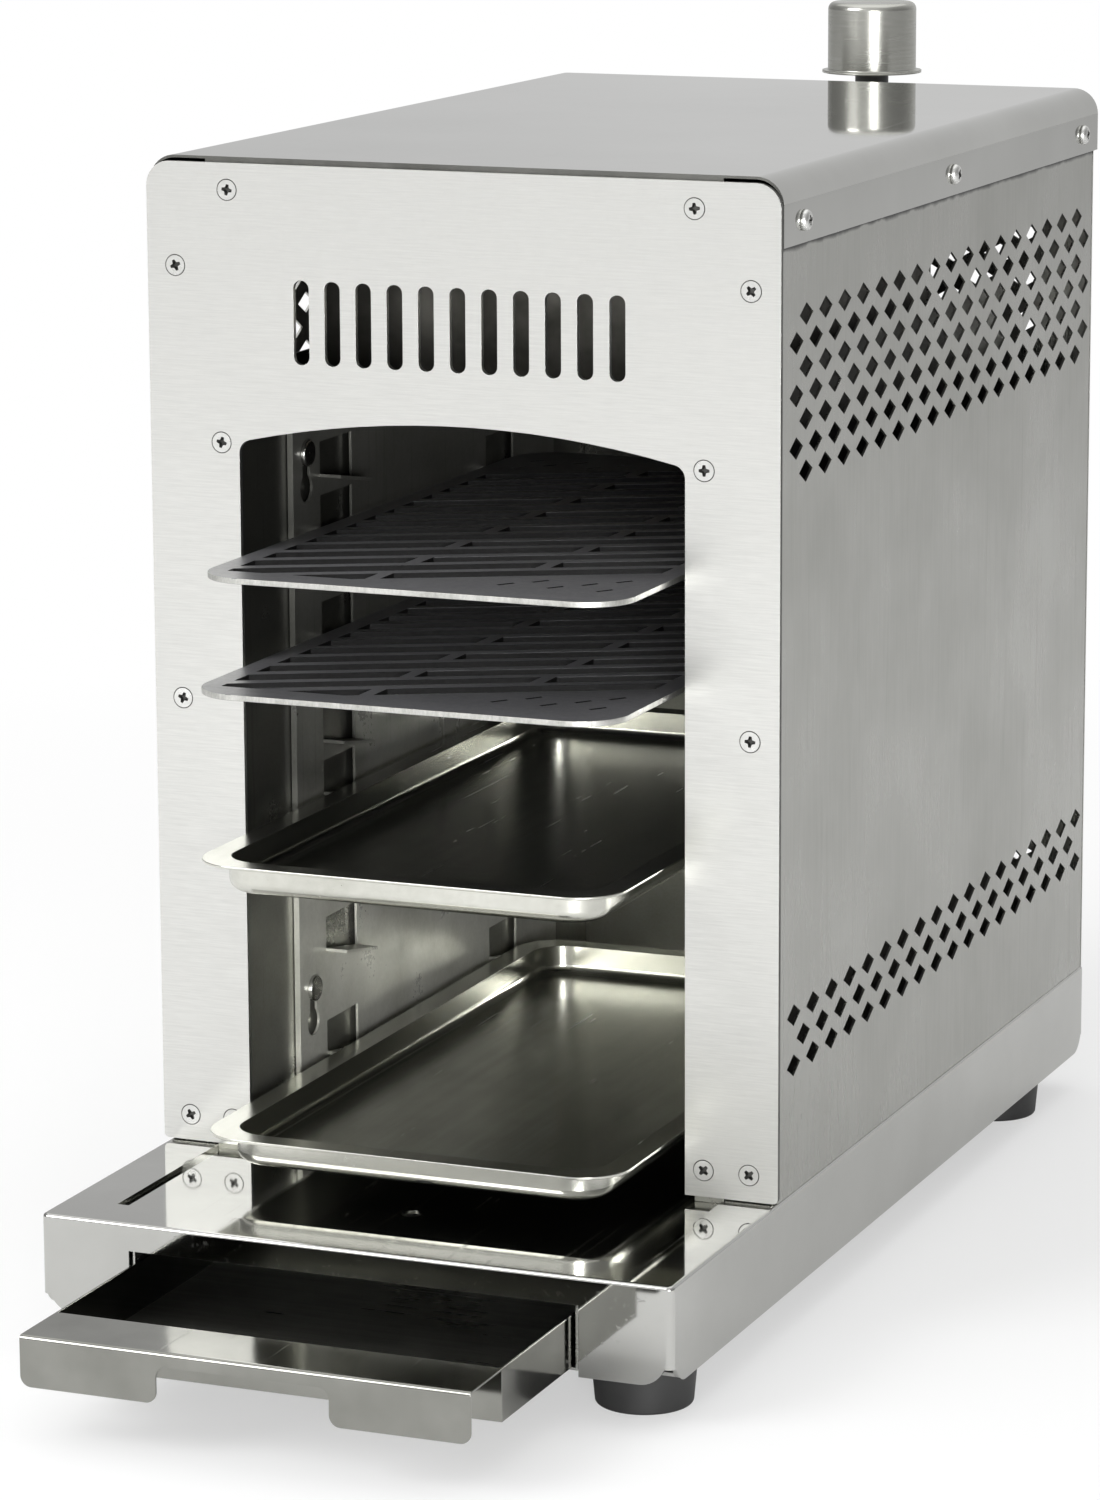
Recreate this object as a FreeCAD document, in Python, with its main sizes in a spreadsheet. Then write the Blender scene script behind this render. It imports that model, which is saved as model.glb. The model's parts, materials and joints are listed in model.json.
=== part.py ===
import FreeCAD, Part
import math
import os
import re
import Sketcher

# Infrared gas grill: an upright sheet-steel housing with a ceiling burner, two slotted grates and
# two trays on punched side racks, on a low base with a grease drawer. Millimetres, +Z up, the
# front faces -Y, and the origin is on the floor in the middle of the four feet.

V = FreeCAD.Vector
doc = FreeCAD.newDocument("InfraredGrill")

# Driving dimensions. Heights above the front panel's lower edge end in _height, distances behind
# the front panel's face end in _depth.
SIZES = {
    # Feet and base
    "foot_rise": 16, "foot_diameter": 37, "foot_toe_diameter": 34, "foot_track": 194,
    "foot_wheelbase": 392, "foot_recess_diameter": 11, "foot_recess_rise": 8,
    "base_width": 238, "base_front_reach": 226, "base_rear_reach": 248, "base_rise": 35.4,
    "base_sheet": 1.5, "base_bend": 1.4, "base_corner_radius": 2.5, "base_flange_radius": 10,
    "rim_width": 20, "recess_sink": 1.5, "drain_diameter": 7.5, "drain_setback": 53,
    "dimple_diameter": 55, "dimple_sink": 0.6,
    "rail_sheet": 1.5, "rail_wall_rise": 20, "rail_end_gap": 12, "rail_margin": 10.5,
    # Grease drawer and its runners
    "drawer_width": 164.4, "drawer_rise": 18.5, "drawer_length": 260, "drawer_sheet": 0.8,
    "drawer_pulled_out": 60.5, "drawer_side_gap": 2.5, "drawer_top_gap": 3.9,
    "handle_reach": 26, "handle_drop": 18, "handle_bend": 1.6, "handle_corner": 4,
    "notch_width": 63, "notch_keep": 5,
    "runner_lift": 1.7, "runner_sheet": 1, "runner_side_gap": 0.8, "runner_foot_width": 10,
    "runner_flange_width": 12, "slide_clearance": 0.3,
    # Front panel
    "panel_gap": 1.1, "panel_setback": 100, "panel_width": 240, "panel_rise": 359.5,
    "panel_sheet": 2, "panel_top_radius": 9, "panel_foot_radius": 2,
    "opening_width": 170, "arch_spring_height": 260.2, "arch_crown_height": 270.1,
    "arch_corner_radius": 5, "front_slot_count": 11, "front_slot_width": 6,
    "front_slot_rise": 30, "front_slot_pitch": 12, "front_slot_height": 304,
    "front_slot_radius": 2.9,
    # Screws
    "screw_diameter": 4, "screw_length": 8, "screw_clearance": 0.05, "flush_head_diameter": 7.8,
    "flush_head_rise": 1.9, "pan_head_diameter": 7.6, "pan_head_rise": 2.4,
    "cross_length": 4.4, "cross_width": 0.9, "cross_sink": 1.1,
    "outer_screw_inset": 10.9, "inner_screw_offset": 4, "top_screw_inset": 31.6,
    "top_screw_height": 350, "shoulder_screw_height": 322.5, "arch_screw_height": 259.7,
    "middle_screw_height": 165.6, "foot_screw_height": 9.6,
    # Side panels, rear panel and vents
    "housing_reach": 371, "side_sheet": 1, "side_front_flange": 19.5, "side_rear_flange": 12,
    "side_bend": 3, "side_foot_bend": 0.9, "side_top_gap": 2,
    "rear_sheet": 1, "rear_side_gap": 0.5, "rear_top_gap": 0.5,
    "vent_width": 14, "vent_rise": 8, "vent_pitch": 20, "vent_row_pitch": 9.15,
    "vent_top_height": 312, "vent_low_height": 46, "vent_start_depth": 18.6,
    "vent_side_columns": 18, "vent_rear_columns": 10,
    "rear_low_screw_height": 20, "rear_middle_screw_height": 180,
    "rear_high_screw_height": 330, "rear_cover_screw_offset": 60,
    # Top cover and heat shield
    "cover_width": 240, "cover_proud": 2, "cover_sheet": 1, "cover_bend": 10,
    "cover_skirt_rise": 24.3, "cover_front_gap": 0.8, "cover_overhang": 0.5,
    "cover_lip_rise": 18, "cover_lip_width": 196, "cover_screw_height": 345,
    "cover_screw_front_depth": 22.9, "cover_screw_rear_depth": 351.5,
    "shield_height": 330, "shield_sheet": 1, "shield_flange": 10, "shield_front_depth": 12,
    "shield_length": 345,
    # Chamber
    "liner_width": 176, "liner_sheet": 1, "liner_front_flange": 11, "liner_foot_flange": 8,
    "liner_top_height": 285, "chamber_depth": 335, "wall_sheet": 1, "wall_flange": 12,
    "ceiling_height": 272, "ceiling_sheet": 1,
    # Racks
    "rack_gap": 1.5, "rack_sheet": 1, "rack_front_depth": 45.5, "rack_length": 250,
    "rack_low_height": 2, "rack_high_height": 262, "rack_flange_gap": 0.3,
    "level_pitch": 20, "level_low_height": 18.5, "tab_reach": 8.5, "tab_length": 28,
    "tab_drop": 5, "tab_sheet": 1.2, "window_rise": 12, "tab_front_depth": 69,
    "tab_rear_depth": 225, "stud_front_depth": 57, "stud_rear_depth": 275,
    "stud_low_height": 46, "stud_high_height": 248, "stud_diameter": 6, "stud_head_diameter": 10,
    "stud_head_rise": 1.8, "stud_fit": 0.1, "keyhole_drop": 13,
    # Grates
    "plate_width": 160, "grate_length": 307, "grate_sheet": 2, "grate_corner_radius": 18,
    "grate_side_margin": 8, "grate_end_margin": 13.5, "grate_slot_count": 15,
    "grate_slot_pitch": 17.4, "grate_slot_width": 10.2, "grate_slot_angle": 27,
    "bridge_width": 5, "left_bridge_offset": 18, "right_bridge_offset": 29,
    "dash_length": 6.7, "dash_width": 1.5, "dash_angle": 54, "dash_pitch": 18.4,
    "dash_row_rise": 9.2, "dash_start_x": 29.4, "dash_start_y": 24,
    "end_slot_length": 31, "end_slot_width": 7.8,
    "grate_level_high": 10, "grate_level_low": 8, "grate_high_pulled_out": 51.5,
    "grate_low_pulled_out": 58,
    # Trays
    "tray_length": 315, "tray_sheet": 1, "tray_corner_radius": 18, "tray_rim_width": 9,
    "tray_sink": 12, "tray_bottom_radius": 4.5, "tray_level_high": 5, "tray_level_low": 0,
    "tray_high_pulled_out": 60, "tray_low_pulled_out": 57,
    # Burner
    "burner_width": 150, "burner_length": 230, "burner_front_depth": 55, "frame_sheet": 1.5,
    "frame_lip": 5, "frame_flange": 8, "tile_rise": 12, "tile_count": 3, "tile_gap": 1,
    "burner_rise": 40, "burner_sheet": 1.2, "burner_play": 1.8,
    "mixer_height": 299.5, "mixer_diameter": 24, "mixer_sheet": 1.2, "mixer_insertion": 3,
    "mixer_mouth_depth": 398, "mixer_mouth_diameter": 27, "mixer_mouth_length": 12,
    "mixer_hole_gap": 0.6,
    "probe_depth": 312, "probe_offset": 16, "probe_diameter": 4, "probe_reach": 17,
    "probe_collar_diameter": 9, "probe_collar_rise": 3, "probe_neck_rise": 9, "probe_tip_radius": 1.2,
    "insulator_diameter": 8, "lead_diameter": 2.4, "lead_bend": 8, "lead_hole_gap": 0.8,
    # Valve and its bracket
    "valve_reach": 70, "valve_width": 36, "valve_length": 24, "valve_low_height": 286,
    "bracket_width": 70, "bracket_sheet": 1.5, "bracket_height": 344.5, "bracket_rise": 68.5,
    "bracket_overhang": 20, "bracket_web_cut": 10, "bracket_screw_offset": 27,
    "bracket_screw_margin": 9,
    "neck_diameter": 18, "neck_rise": 6, "nut_width": 24, "nut_rise": 5,
    "plug_diameter": 12, "plug_low_height": 296, "plug_rise": 22, "plug_socket_sink": 9.5,
    "bore_top_height": 334, "turning_clearance": 0.05, "spindle_diameter": 6,
    "spindle_low_height": 312, "spindle_high_height": 379, "collar_diameter": 9.6,
    "collar_rise": 2, "spring_outer_diameter": 9.2, "spring_inner_diameter": 6.8,
    "knob_push": 3, "outlet_diameter": 8, "outlet_length": 16, "jet_length": 12,
    "jet_width": 14, "jet_nose_length": 6, "jet_nose_diameter": 6,
    "inlet_hex_width": 18, "inlet_hex_rise": 8, "inlet_thread_diameter": 13.16,
    "inlet_thread_length": 14, "inlet_bore_diameter": 6,
    # Knob
    "knob_diameter": 37, "knob_flange_diameter": 41.7, "knob_low_height": 359.5,
    "knob_high_height": 389, "knob_sheet": 1, "knob_edge_radius": 3, "hub_diameter": 14,
    "hub_low_height": 355,
}

# Places worked out from the driving dimensions, each from what it sits on
PLACES = {
    "base_top": "foot_rise + base_rise",
    "chamber_floor": "base_top - recess_sink",
    "panel_foot": "base_top + panel_gap",
    "panel_face": "panel_setback - base_front_reach",
    "panel_back": "panel_face + panel_sheet",
    "panel_top": "panel_foot + panel_rise",
    "side_face": "base_width / 2",
    "side_inner": "side_face - side_sheet",
    "side_rear": "panel_face + housing_reach",
    "rear_back": "side_rear + rear_sheet",
    "cover_top": "panel_top + cover_proud",
    "cover_ceiling": "cover_top - cover_sheet",
    "cover_front": "panel_back + cover_front_gap",
    "cover_rear": "rear_back + cover_overhang",
    "side_top": "cover_top - cover_bend - side_top_gap",
    "drawer_front": "-base_front_reach - drawer_pulled_out",
    "runner_foot": "foot_rise + runner_lift",
    "drawer_floor": "runner_foot + runner_sheet + slide_clearance",
    "runner_face": "drawer_width / 2 + runner_side_gap",
    "runner_stop": "-base_front_reach + drawer_length + slide_clearance",
    "liner_face": "liner_width / 2",
    "liner_back": "panel_face + chamber_depth + wall_flange",
    "chamber_rear": "panel_face + chamber_depth",
    "ceiling": "panel_foot + ceiling_height",
    "ceiling_top": "ceiling + ceiling_sheet",
    "rack_face": "liner_face - rack_gap - rack_sheet",
    "rack_front": "panel_face + rack_front_depth",
    "burner_front": "panel_face + burner_front_depth",
    "burner_seat": "ceiling_top + frame_sheet",
    "burner_top": "burner_seat + burner_rise",
    "mixer_axis": "panel_foot + mixer_height",
    "valve_axis": "rear_back + valve_reach",
    "bracket_top": "panel_foot + bracket_height",
    "bracket_underside": "bracket_top - bracket_sheet",
    "neck_top": "bracket_top + neck_rise",
    "valve_foot": "panel_foot + valve_low_height",
    "plug_foot": "panel_foot + plug_low_height",
    "plug_top": "plug_foot + plug_rise",
    "bore_top": "panel_foot + bore_top_height",
    "collar_top": "bore_top - slide_clearance",
    "probe_y": "panel_face + probe_depth",
}

sizes_sheet = doc.addObject("Spreadsheet::Sheet", "Sizes")
places_sheet = doc.addObject("Spreadsheet::Sheet", "Places")
SHEET_OF = {}


def linked(text, home=""):
    """Name the sheet in front of each alias, except for aliases of the home sheet itself."""
    def with_sheet(match):
        word = match.group(0)
        owner = SHEET_OF.get(word, home)
        return word if owner == home else f"{owner}.{word}"
    return re.sub(r"[a-z][a-z_]*", with_sheet, str(text))


def fill_sheet(sheet, cells):
    """Write one named cell a row: a plain number, or a formula that starts with an equals sign."""
    for row, (alias, content) in enumerate(cells.items(), start=1):
        sheet.set(f"A{row}", alias)
        sheet.set(f"B{row}", content)
        sheet.setAlias(f"B{row}", alias)
        SHEET_OF[alias] = sheet.Name
    doc.recompute()


fill_sheet(sizes_sheet, {alias: str(number) for alias, number in SIZES.items()})
SHEET_OF.update({alias: "Places" for alias in PLACES})
fill_sheet(places_sheet, {alias: "=" + linked(text, "Places") for alias, text in PLACES.items()})


def value(text):
    """The present value of a formula of aliases."""
    return float(sizes_sheet.evalExpression(linked(text)))


def bind(thing, prop, text):
    """Bind a property to a formula of aliases."""
    thing.setExpression(prop, linked(text))


def new_body(label):
    body = doc.addObject("PartDesign::Body", label)
    body.Label = label
    return body


def seat(thing, x="0", y="0", z="0", axis=V(0, 0, 1), angle=0):
    """Place an object: turned about an axis, then moved to a bound position."""
    thing.Placement = FreeCAD.Placement(V(value(x), value(y), value(z)),
                                        FreeCAD.Rotation(axis, angle))
    for name, text in zip("xyz", (x, y, z)):
        bind(thing, f"Placement.Base.{name}", text)
    return thing


def corners(*spots):
    """A closed outline of straight sides. A spot's third value rounds its corner."""
    def draw(sketch):
        count = len(spots)
        points = [V(value(spot[0]), value(spot[1]), 0) for spot in spots]
        radii = [value(spot[2]) if len(spot) > 2 else 0 for spot in spots]
        arrive, leave, middle, turns_left = [], [], [], []
        for index, point in enumerate(points):
            back = (points[index - 1] - point).normalize()
            ahead = (points[(index + 1) % count] - point).normalize()
            half = back.getAngle(ahead) / 2
            setback = radii[index] / math.tan(half)
            bisector = (back + ahead).normalize() if radii[index] else V()
            arrive.append(point + back * setback)
            leave.append(point + ahead * setback)
            middle.append(point + bisector * (radii[index] / math.sin(half) - radii[index]))
            turns_left.append(ahead.cross(back).z > 0)
        sides = [sketch.addGeometry(Part.LineSegment(leave[i], arrive[(i + 1) % count]), False)
                 for i in range(count)]
        for index, spot in enumerate(spots):
            before, after = sides[index - 1], sides[index]
            if radii[index]:
                ends = (arrive[index], leave[index])
                first, last = (1, 2) if turns_left[index] else (2, 1)
                bend = Part.Arc(ends[first - 1], middle[index], ends[last - 1])
                arc = sketch.addGeometry(bend, False)
                sketch.addConstraint(Sketcher.Constraint("Tangent", before, 2, arc, first))
                sketch.addConstraint(Sketcher.Constraint("Tangent", arc, last, after, 1))
                add_size(sketch, ("Radius", arc), spot[2])
                mark = sketch.addGeometry(Part.Point(points[index]), True)
                sketch.addConstraint(Sketcher.Constraint("PointOnObject", mark, 1, before))
                sketch.addConstraint(Sketcher.Constraint("PointOnObject", mark, 1, after))
            else:
                sketch.addConstraint(Sketcher.Constraint("Coincident", before, 2, after, 1))
                mark = after
            add_size(sketch, ("DistanceX", -1, 1, mark, 1), spot[0])
            add_size(sketch, ("DistanceY", -1, 1, mark, 1), spot[1])
    return draw


def add_size(sketch, what, text):
    """Add a dimension to a sketch and bind it to a formula of aliases."""
    index = sketch.addConstraint(Sketcher.Constraint(*what, value(text)))
    bind(sketch, f"Constraints[{index}]", text)


def circle(x, y, diameter):
    """A full circle at a bound place."""
    def draw(sketch):
        ring = Part.Circle(V(value(x), value(y), 0), V(0, 0, 1), value(diameter) / 2)
        index = sketch.addGeometry(ring, False)
        add_size(sketch, ("DistanceX", -1, 1, index, 3), x)
        add_size(sketch, ("DistanceY", -1, 1, index, 3), y)
        add_size(sketch, ("Diameter", index), diameter)
    return draw


def rectangle(x_low, x_high, y_low, y_high, radius=None):
    """An upright rectangle, with all four corners rounded if a radius is given."""
    extra = () if radius is None else (radius,)
    return corners((x_low, y_low, *extra), (x_high, y_low, *extra),
                   (x_high, y_high, *extra), (x_low, y_high, *extra))


def regular_hexagon(x, y, width):
    """A hexagon of the given width across its flats, with two flats facing plus and minus X."""
    spots = []
    for step in range(6):
        reach = f"({width}) / 2 / cos(30)"
        spots.append((f"({x}) + {reach} * cos({60 * step + 30})",
                      f"({y}) + {reach} * sin({60 * step + 30})"))
    return corners(*spots)


PLANES = {"XY": ("XY_Plane", 1), "XZ": ("XZ_Plane", -1), "YZ": ("YZ_Plane", 1)}


def sketch_on(body, name, plane, at, shapes):
    """A sketch parallel to one of the body's own origin planes, at a bound distance from it."""
    role, side = PLANES[plane]
    sketch = body.newObject("Sketcher::SketchObject", f"{body.Label}_{name}_sketch")
    own_plane = next(item for item in body.Origin.OriginFeatures if item.Role == role)
    sketch.AttachmentSupport = [(own_plane, "")]
    sketch.MapMode = "FlatFace"
    bind(sketch, "AttachmentOffset.Base.z", f"{side} * ({at})")
    for draw in shapes:
        draw(sketch)
    return sketch


def grow(body, name, plane, at, length, *shapes):
    """Pad outlines from a plane at a distance, towards plus X, Y or Z."""
    sketch = sketch_on(body, name, plane, at, shapes)
    feature = body.newObject("PartDesign::Pad", f"{body.Label}_{name}")
    feature.Profile = sketch
    feature.Reversed = plane == "XZ"
    bind(feature, "Length", length)
    return feature


def cut(body, name, plane, at, length, *shapes):
    """Pocket outlines from a plane at a distance, towards plus X, Y or Z."""
    sketch = sketch_on(body, name, plane, at, shapes)
    feature = body.newObject("PartDesign::Pocket", f"{body.Label}_{name}")
    feature.Profile = sketch
    feature.Reversed = plane != "XZ"
    bind(feature, "Length", length)
    return feature


def turn(body, name, feature_type, *spots):
    """Turn a half outline of radius and height about the body's upright axis."""
    sketch = sketch_on(body, name, "XZ", "0", (corners(*spots),))
    feature = body.newObject(f"PartDesign::{feature_type}", f"{body.Label}_{name}")
    feature.Profile = sketch
    feature.ReferenceAxis = (sketch, ["V_Axis"])
    feature.Angle = 360
    return feature


def repeat(body, name, original, axis, count, pitch, second=None):
    """Repeat a feature along an origin axis, and along a second one for a grid."""
    feature = body.newObject("PartDesign::LinearPattern", f"{body.Label}_{name}")
    feature.Originals = [original]
    origin = {item.Role: item for item in body.Origin.OriginFeatures}
    feature.Direction = (origin[f"{axis}_Axis"], [""])
    feature.Refine = False
    bind(feature, "Occurrences", count)
    bind(feature, "Length", f"({pitch}) * (({count}) - 1)")
    if second:
        axis_two, count_two, pitch_two = second
        feature.Direction2 = (origin[f"{axis_two}_Axis"], [""])
        bind(feature, "Occurrences2", count_two)
        bind(feature, "Length2", f"({pitch_two}) * (({count_two}) - 1)")
    body.Tip = feature
    return feature


def turned_copy(body, name, *originals):
    """Repeat features once, half a turn about the body's upright axis."""
    feature = body.newObject("PartDesign::PolarPattern", f"{body.Label}_{name}")
    feature.Originals = list(originals)
    axis = next(item for item in body.Origin.OriginFeatures if item.Role == "Z_Axis")
    feature.Axis = (axis, [""])
    feature.Angle = 360
    feature.Occurrences = 2
    body.Tip = feature
    return feature


def at(edge, **wanted):
    """Whether an edge lies wholly at the given coordinates."""
    box = edge.BoundBox
    spans = {"x": (box.XMin, box.XMax), "y": (box.YMin, box.YMax), "z": (box.ZMin, box.ZMax)}
    return all(abs(low - value(text)) < 1e-3 and abs(high - value(text)) < 1e-3
               for name, text in wanted.items() for low, high in [spans[name]])


def dress(body, name, kind, prop, text, chosen):
    """Fillet or chamfer the edges of the body's last feature that pass a test."""
    doc.recompute()
    base = body.Tip
    names = [f"Edge{number}" for number, edge in enumerate(base.Shape.Edges, start=1)
             if chosen(edge)]
    if not names:
        raise RuntimeError(f"{body.Label} {name}: no edge found")
    feature = body.newObject(f"PartDesign::{kind}", f"{body.Label}_{name}")
    feature.Base = (base, names)
    bind(feature, prop, text)
    return feature


def round_edges(body, name, radius, chosen):
    return dress(body, name, "Fillet", "Radius", radius, chosen)


def mirrored(source, label):
    """The left-hand twin of a right-hand piece."""
    twin = doc.addObject("Part::Mirroring", label)
    twin.Label = label
    twin.Source = source
    twin.Normal = V(1, 0, 0)
    return twin


def group(label, master, places):
    """Identical fasteners as one node of separate solids. A place holds x, y, z, axis, angle."""
    copies = []
    for number, (x, y, z, axis, angle) in enumerate(places, start=1):
        copy = doc.addObject("App::Link", f"{label}_{number}")
        copy.LinkedObject = master
        copies.append(seat(copy, x, y, z, axis, angle))
    bunch = doc.addObject("Part::Compound", label)
    bunch.Label = label
    bunch.Links = copies
    return bunch


TO_FRONT = (V(1, 0, 0), 90)
TO_REAR = (V(1, 0, 0), -90)
TO_RIGHT = (V(0, 1, 0), 90)
TO_LEFT = (V(0, 1, 0), -90)
DOWN = (V(1, 0, 0), 180)
BOTH_SIDES = ("", "-")
SCREW_HOLE = "screw_diameter + 2 * screw_clearance"


def both(text):
    """A distance to the right of the middle, and the same to the left."""
    return [f"{sign}({text})" for sign in BOTH_SIDES]


def above(height):
    return f"panel_foot + {height}"


def behind(depth):
    return f"panel_face + {depth}"


FRONT_SCREWS = (
    [(x, above(height)) for x in both("panel_width / 2 - outer_screw_inset")
     for height in ("shoulder_screw_height", "middle_screw_height", "foot_screw_height")]
    + [(x, above(height)) for x in both("liner_face + inner_screw_offset")
       for height in ("arch_screw_height", "foot_screw_height")]
    + [(x, above("top_screw_height")) for x in both("panel_width / 2 - top_screw_inset")]
)
COVER_SCREW_DEPTHS = ("cover_screw_front_depth",
                      "(cover_screw_front_depth + cover_screw_rear_depth) / 2",
                      "cover_screw_rear_depth")
REAR_SCREW_X = "side_face - side_rear_flange / 2"
REAR_SCREWS = (
    [(x, above(height)) for x in both(REAR_SCREW_X)
     for height in ("rear_low_screw_height", "rear_middle_screw_height", "rear_high_screw_height")]
    + [(x, above("cover_screw_height")) for x in both("rear_cover_screw_offset")]
)
BRACKET_SCREWS = [(x, z) for x in both("bracket_screw_offset")
                  for z in ("bracket_top - bracket_rise + bracket_screw_margin",
                            "bracket_underside - bracket_screw_margin")]
FOOT_SPOTS = {f"foot_{end}_{side}": (f"{x_sign}foot_track / 2", f"{y_sign}foot_wheelbase / 2")
              for end, y_sign in (("front", "-"), ("rear", ""))
              for side, x_sign in (("left", "-"), ("right", ""))}
FOOTING_DEPTHS = ("cover_screw_front_depth", "cover_screw_rear_depth")
STUD_SPOTS = [(behind(depth), above(height)) for depth in ("stud_front_depth", "stud_rear_depth")
              for height in ("stud_low_height", "stud_high_height")]
FOOTING_SCREW_X = "side_face - side_rear_flange / 2"


# Pressed steel base: one sheet with four flanges folded down and a shallow recess all over
def base_shell():
    body = new_body("base_shell")
    front, rear = "-base_front_reach", "base_rear_reach"
    grow(body, "rim", "XY", "base_top - base_sheet", "base_sheet",
         rectangle("-side_face", "side_face", front, rear, "base_corner_radius"))
    flange_end = "side_face - base_corner_radius"
    for name, place in (("front", front), ("rear", f"{rear} - base_sheet")):
        grow(body, f"{name}_flange", "XZ", place, "base_sheet",
             corners((f"-({flange_end})", "foot_rise", "base_flange_radius"),
                     (flange_end, "foot_rise", "base_flange_radius"),
                     (flange_end, "base_top"), (f"-({flange_end})", "base_top")))
    for name, place in (("left", "-side_face"), ("right", "side_face - base_sheet")):
        grow(body, f"{name}_flange", "YZ", place, "base_sheet",
             corners((f"{front} + base_corner_radius", "foot_rise", "base_flange_radius"),
                     (f"{rear} - base_corner_radius", "foot_rise", "base_flange_radius"),
                     (f"{rear} - base_corner_radius", "base_top"),
                     (f"{front} + base_corner_radius", "base_top")))
    recess = "side_face - rim_width"
    step = "rim_width - base_sheet"
    grow(body, "recess_pan", "XY", "chamber_floor - base_sheet", "base_sheet + recess_sink",
         rectangle(f"-({recess}) - base_sheet", f"{recess} + base_sheet",
                   f"{front} + {step}", f"{rear} - ({step})"))
    cut(body, "recess", "XY", "chamber_floor", "recess_sink",
        rectangle(f"-({recess})", recess, f"{front} + rim_width", f"{rear} - rim_width"))
    round_edges(body, "bend", "base_bend", lambda edge: at(edge, z="base_top") and (
        edge.BoundBox.YMax < value(front) + value("rim_width / 2")
        or edge.BoundBox.YMin > value(rear) - value("rim_width / 2")
        or edge.BoundBox.XMin > value("side_face - rim_width / 2")
        or edge.BoundBox.XMax < value("rim_width / 2 - side_face")))
    cut(body, "drawer_slot", "XZ", front, "base_sheet",
        rectangle("-drawer_width / 2 - drawer_side_gap", "drawer_width / 2 + drawer_side_gap",
                  "foot_rise - 1", "drawer_floor + drawer_rise + drawer_top_gap"))
    drain = f"{front} + drain_setback"
    dimple = sketch_on(body, "dimple", "XZ", drain,
                       (corners(("0", "chamber_floor"), ("dimple_diameter / 2", "chamber_floor"),
                                ("0", "chamber_floor - dimple_sink")),))
    groove = body.newObject("PartDesign::Groove", "base_shell_dimple")
    groove.Profile = dimple
    groove.ReferenceAxis = (dimple, ["V_Axis"])
    groove.Angle = 360
    cut(body, "drain", "XY", "chamber_floor - base_sheet", "base_sheet",
        circle("0", drain, "drain_diameter"))
    cut(body, "footing_holes", "XY", "base_top - base_sheet", "base_sheet",
        *[circle(x, behind(depth), SCREW_HOLE) for x in both(FOOTING_SCREW_X)
          for depth in FOOTING_DEPTHS])
    return body


# Angle rails welded inside the side flanges; the feet are screwed to them
def foot_rails():
    body = new_body("foot_rail_right")
    outer, inner = "side_face - base_sheet", "foot_track / 2 - rail_margin"
    length = "base_front_reach + base_rear_reach - 2 * rail_end_gap"
    grow(body, "angle", "XZ", "-base_front_reach + rail_end_gap", length,
         corners((inner, "foot_rise"), (outer, "foot_rise"),
                 (outer, "foot_rise + rail_wall_rise"),
                 (f"{outer} - rail_sheet", "foot_rise + rail_wall_rise"),
                 (f"{outer} - rail_sheet", "foot_rise + rail_sheet"),
                 (inner, "foot_rise + rail_sheet")))
    cut(body, "foot_holes", "XY", "foot_rise", "rail_sheet",
        circle("foot_track / 2", "-foot_wheelbase / 2", SCREW_HOLE),
        circle("foot_track / 2", "foot_wheelbase / 2", SCREW_HOLE))
    return [body, mirrored(body, "foot_rail_left")]


# Moulded rubber feet with a sunk screw
def feet():
    made = []
    for label, (x, y) in FOOT_SPOTS.items():
        body = new_body(label)
        turn(body, "pad", "Revolution",
             (SCREW_HOLE + " / 2 - screw_clearance", "foot_recess_rise"),
             ("foot_recess_diameter / 2", "foot_recess_rise"), ("foot_recess_diameter / 2", "0"),
             ("foot_toe_diameter / 2", "0", "1.2"), ("foot_diameter / 2", "foot_rise", "1.2"),
             (SCREW_HOLE + " / 2 - screw_clearance", "foot_rise"))
        made.append(seat(body, x, y))
    return made


# Z-shaped drawer runners welded under the recess, each with a stop at its rear end
def drawer_runners():
    body = new_body("drawer_runner_right")
    start = "-base_front_reach + base_sheet"
    ceiling = "chamber_floor - base_sheet"
    grow(body, "section", "XZ", start, f"runner_stop + runner_sheet - ({start})",
         corners(("runner_face - runner_foot_width", "runner_foot"),
                 ("runner_face + runner_sheet", "runner_foot"),
                 ("runner_face + runner_sheet", f"{ceiling} - runner_sheet"),
                 ("runner_face + runner_sheet + runner_flange_width",
                  f"{ceiling} - runner_sheet"),
                 ("runner_face + runner_sheet + runner_flange_width", ceiling),
                 ("runner_face", ceiling), ("runner_face", "runner_foot + runner_sheet"),
                 ("runner_face - runner_foot_width", "runner_foot + runner_sheet")))
    grow(body, "stop", "XZ", "runner_stop", "runner_sheet",
         rectangle("runner_face - runner_foot_width", "runner_face + runner_sheet",
                   "runner_foot", "drawer_floor + drawer_rise"))
    return [body, mirrored(body, "drawer_runner_left")]


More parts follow.
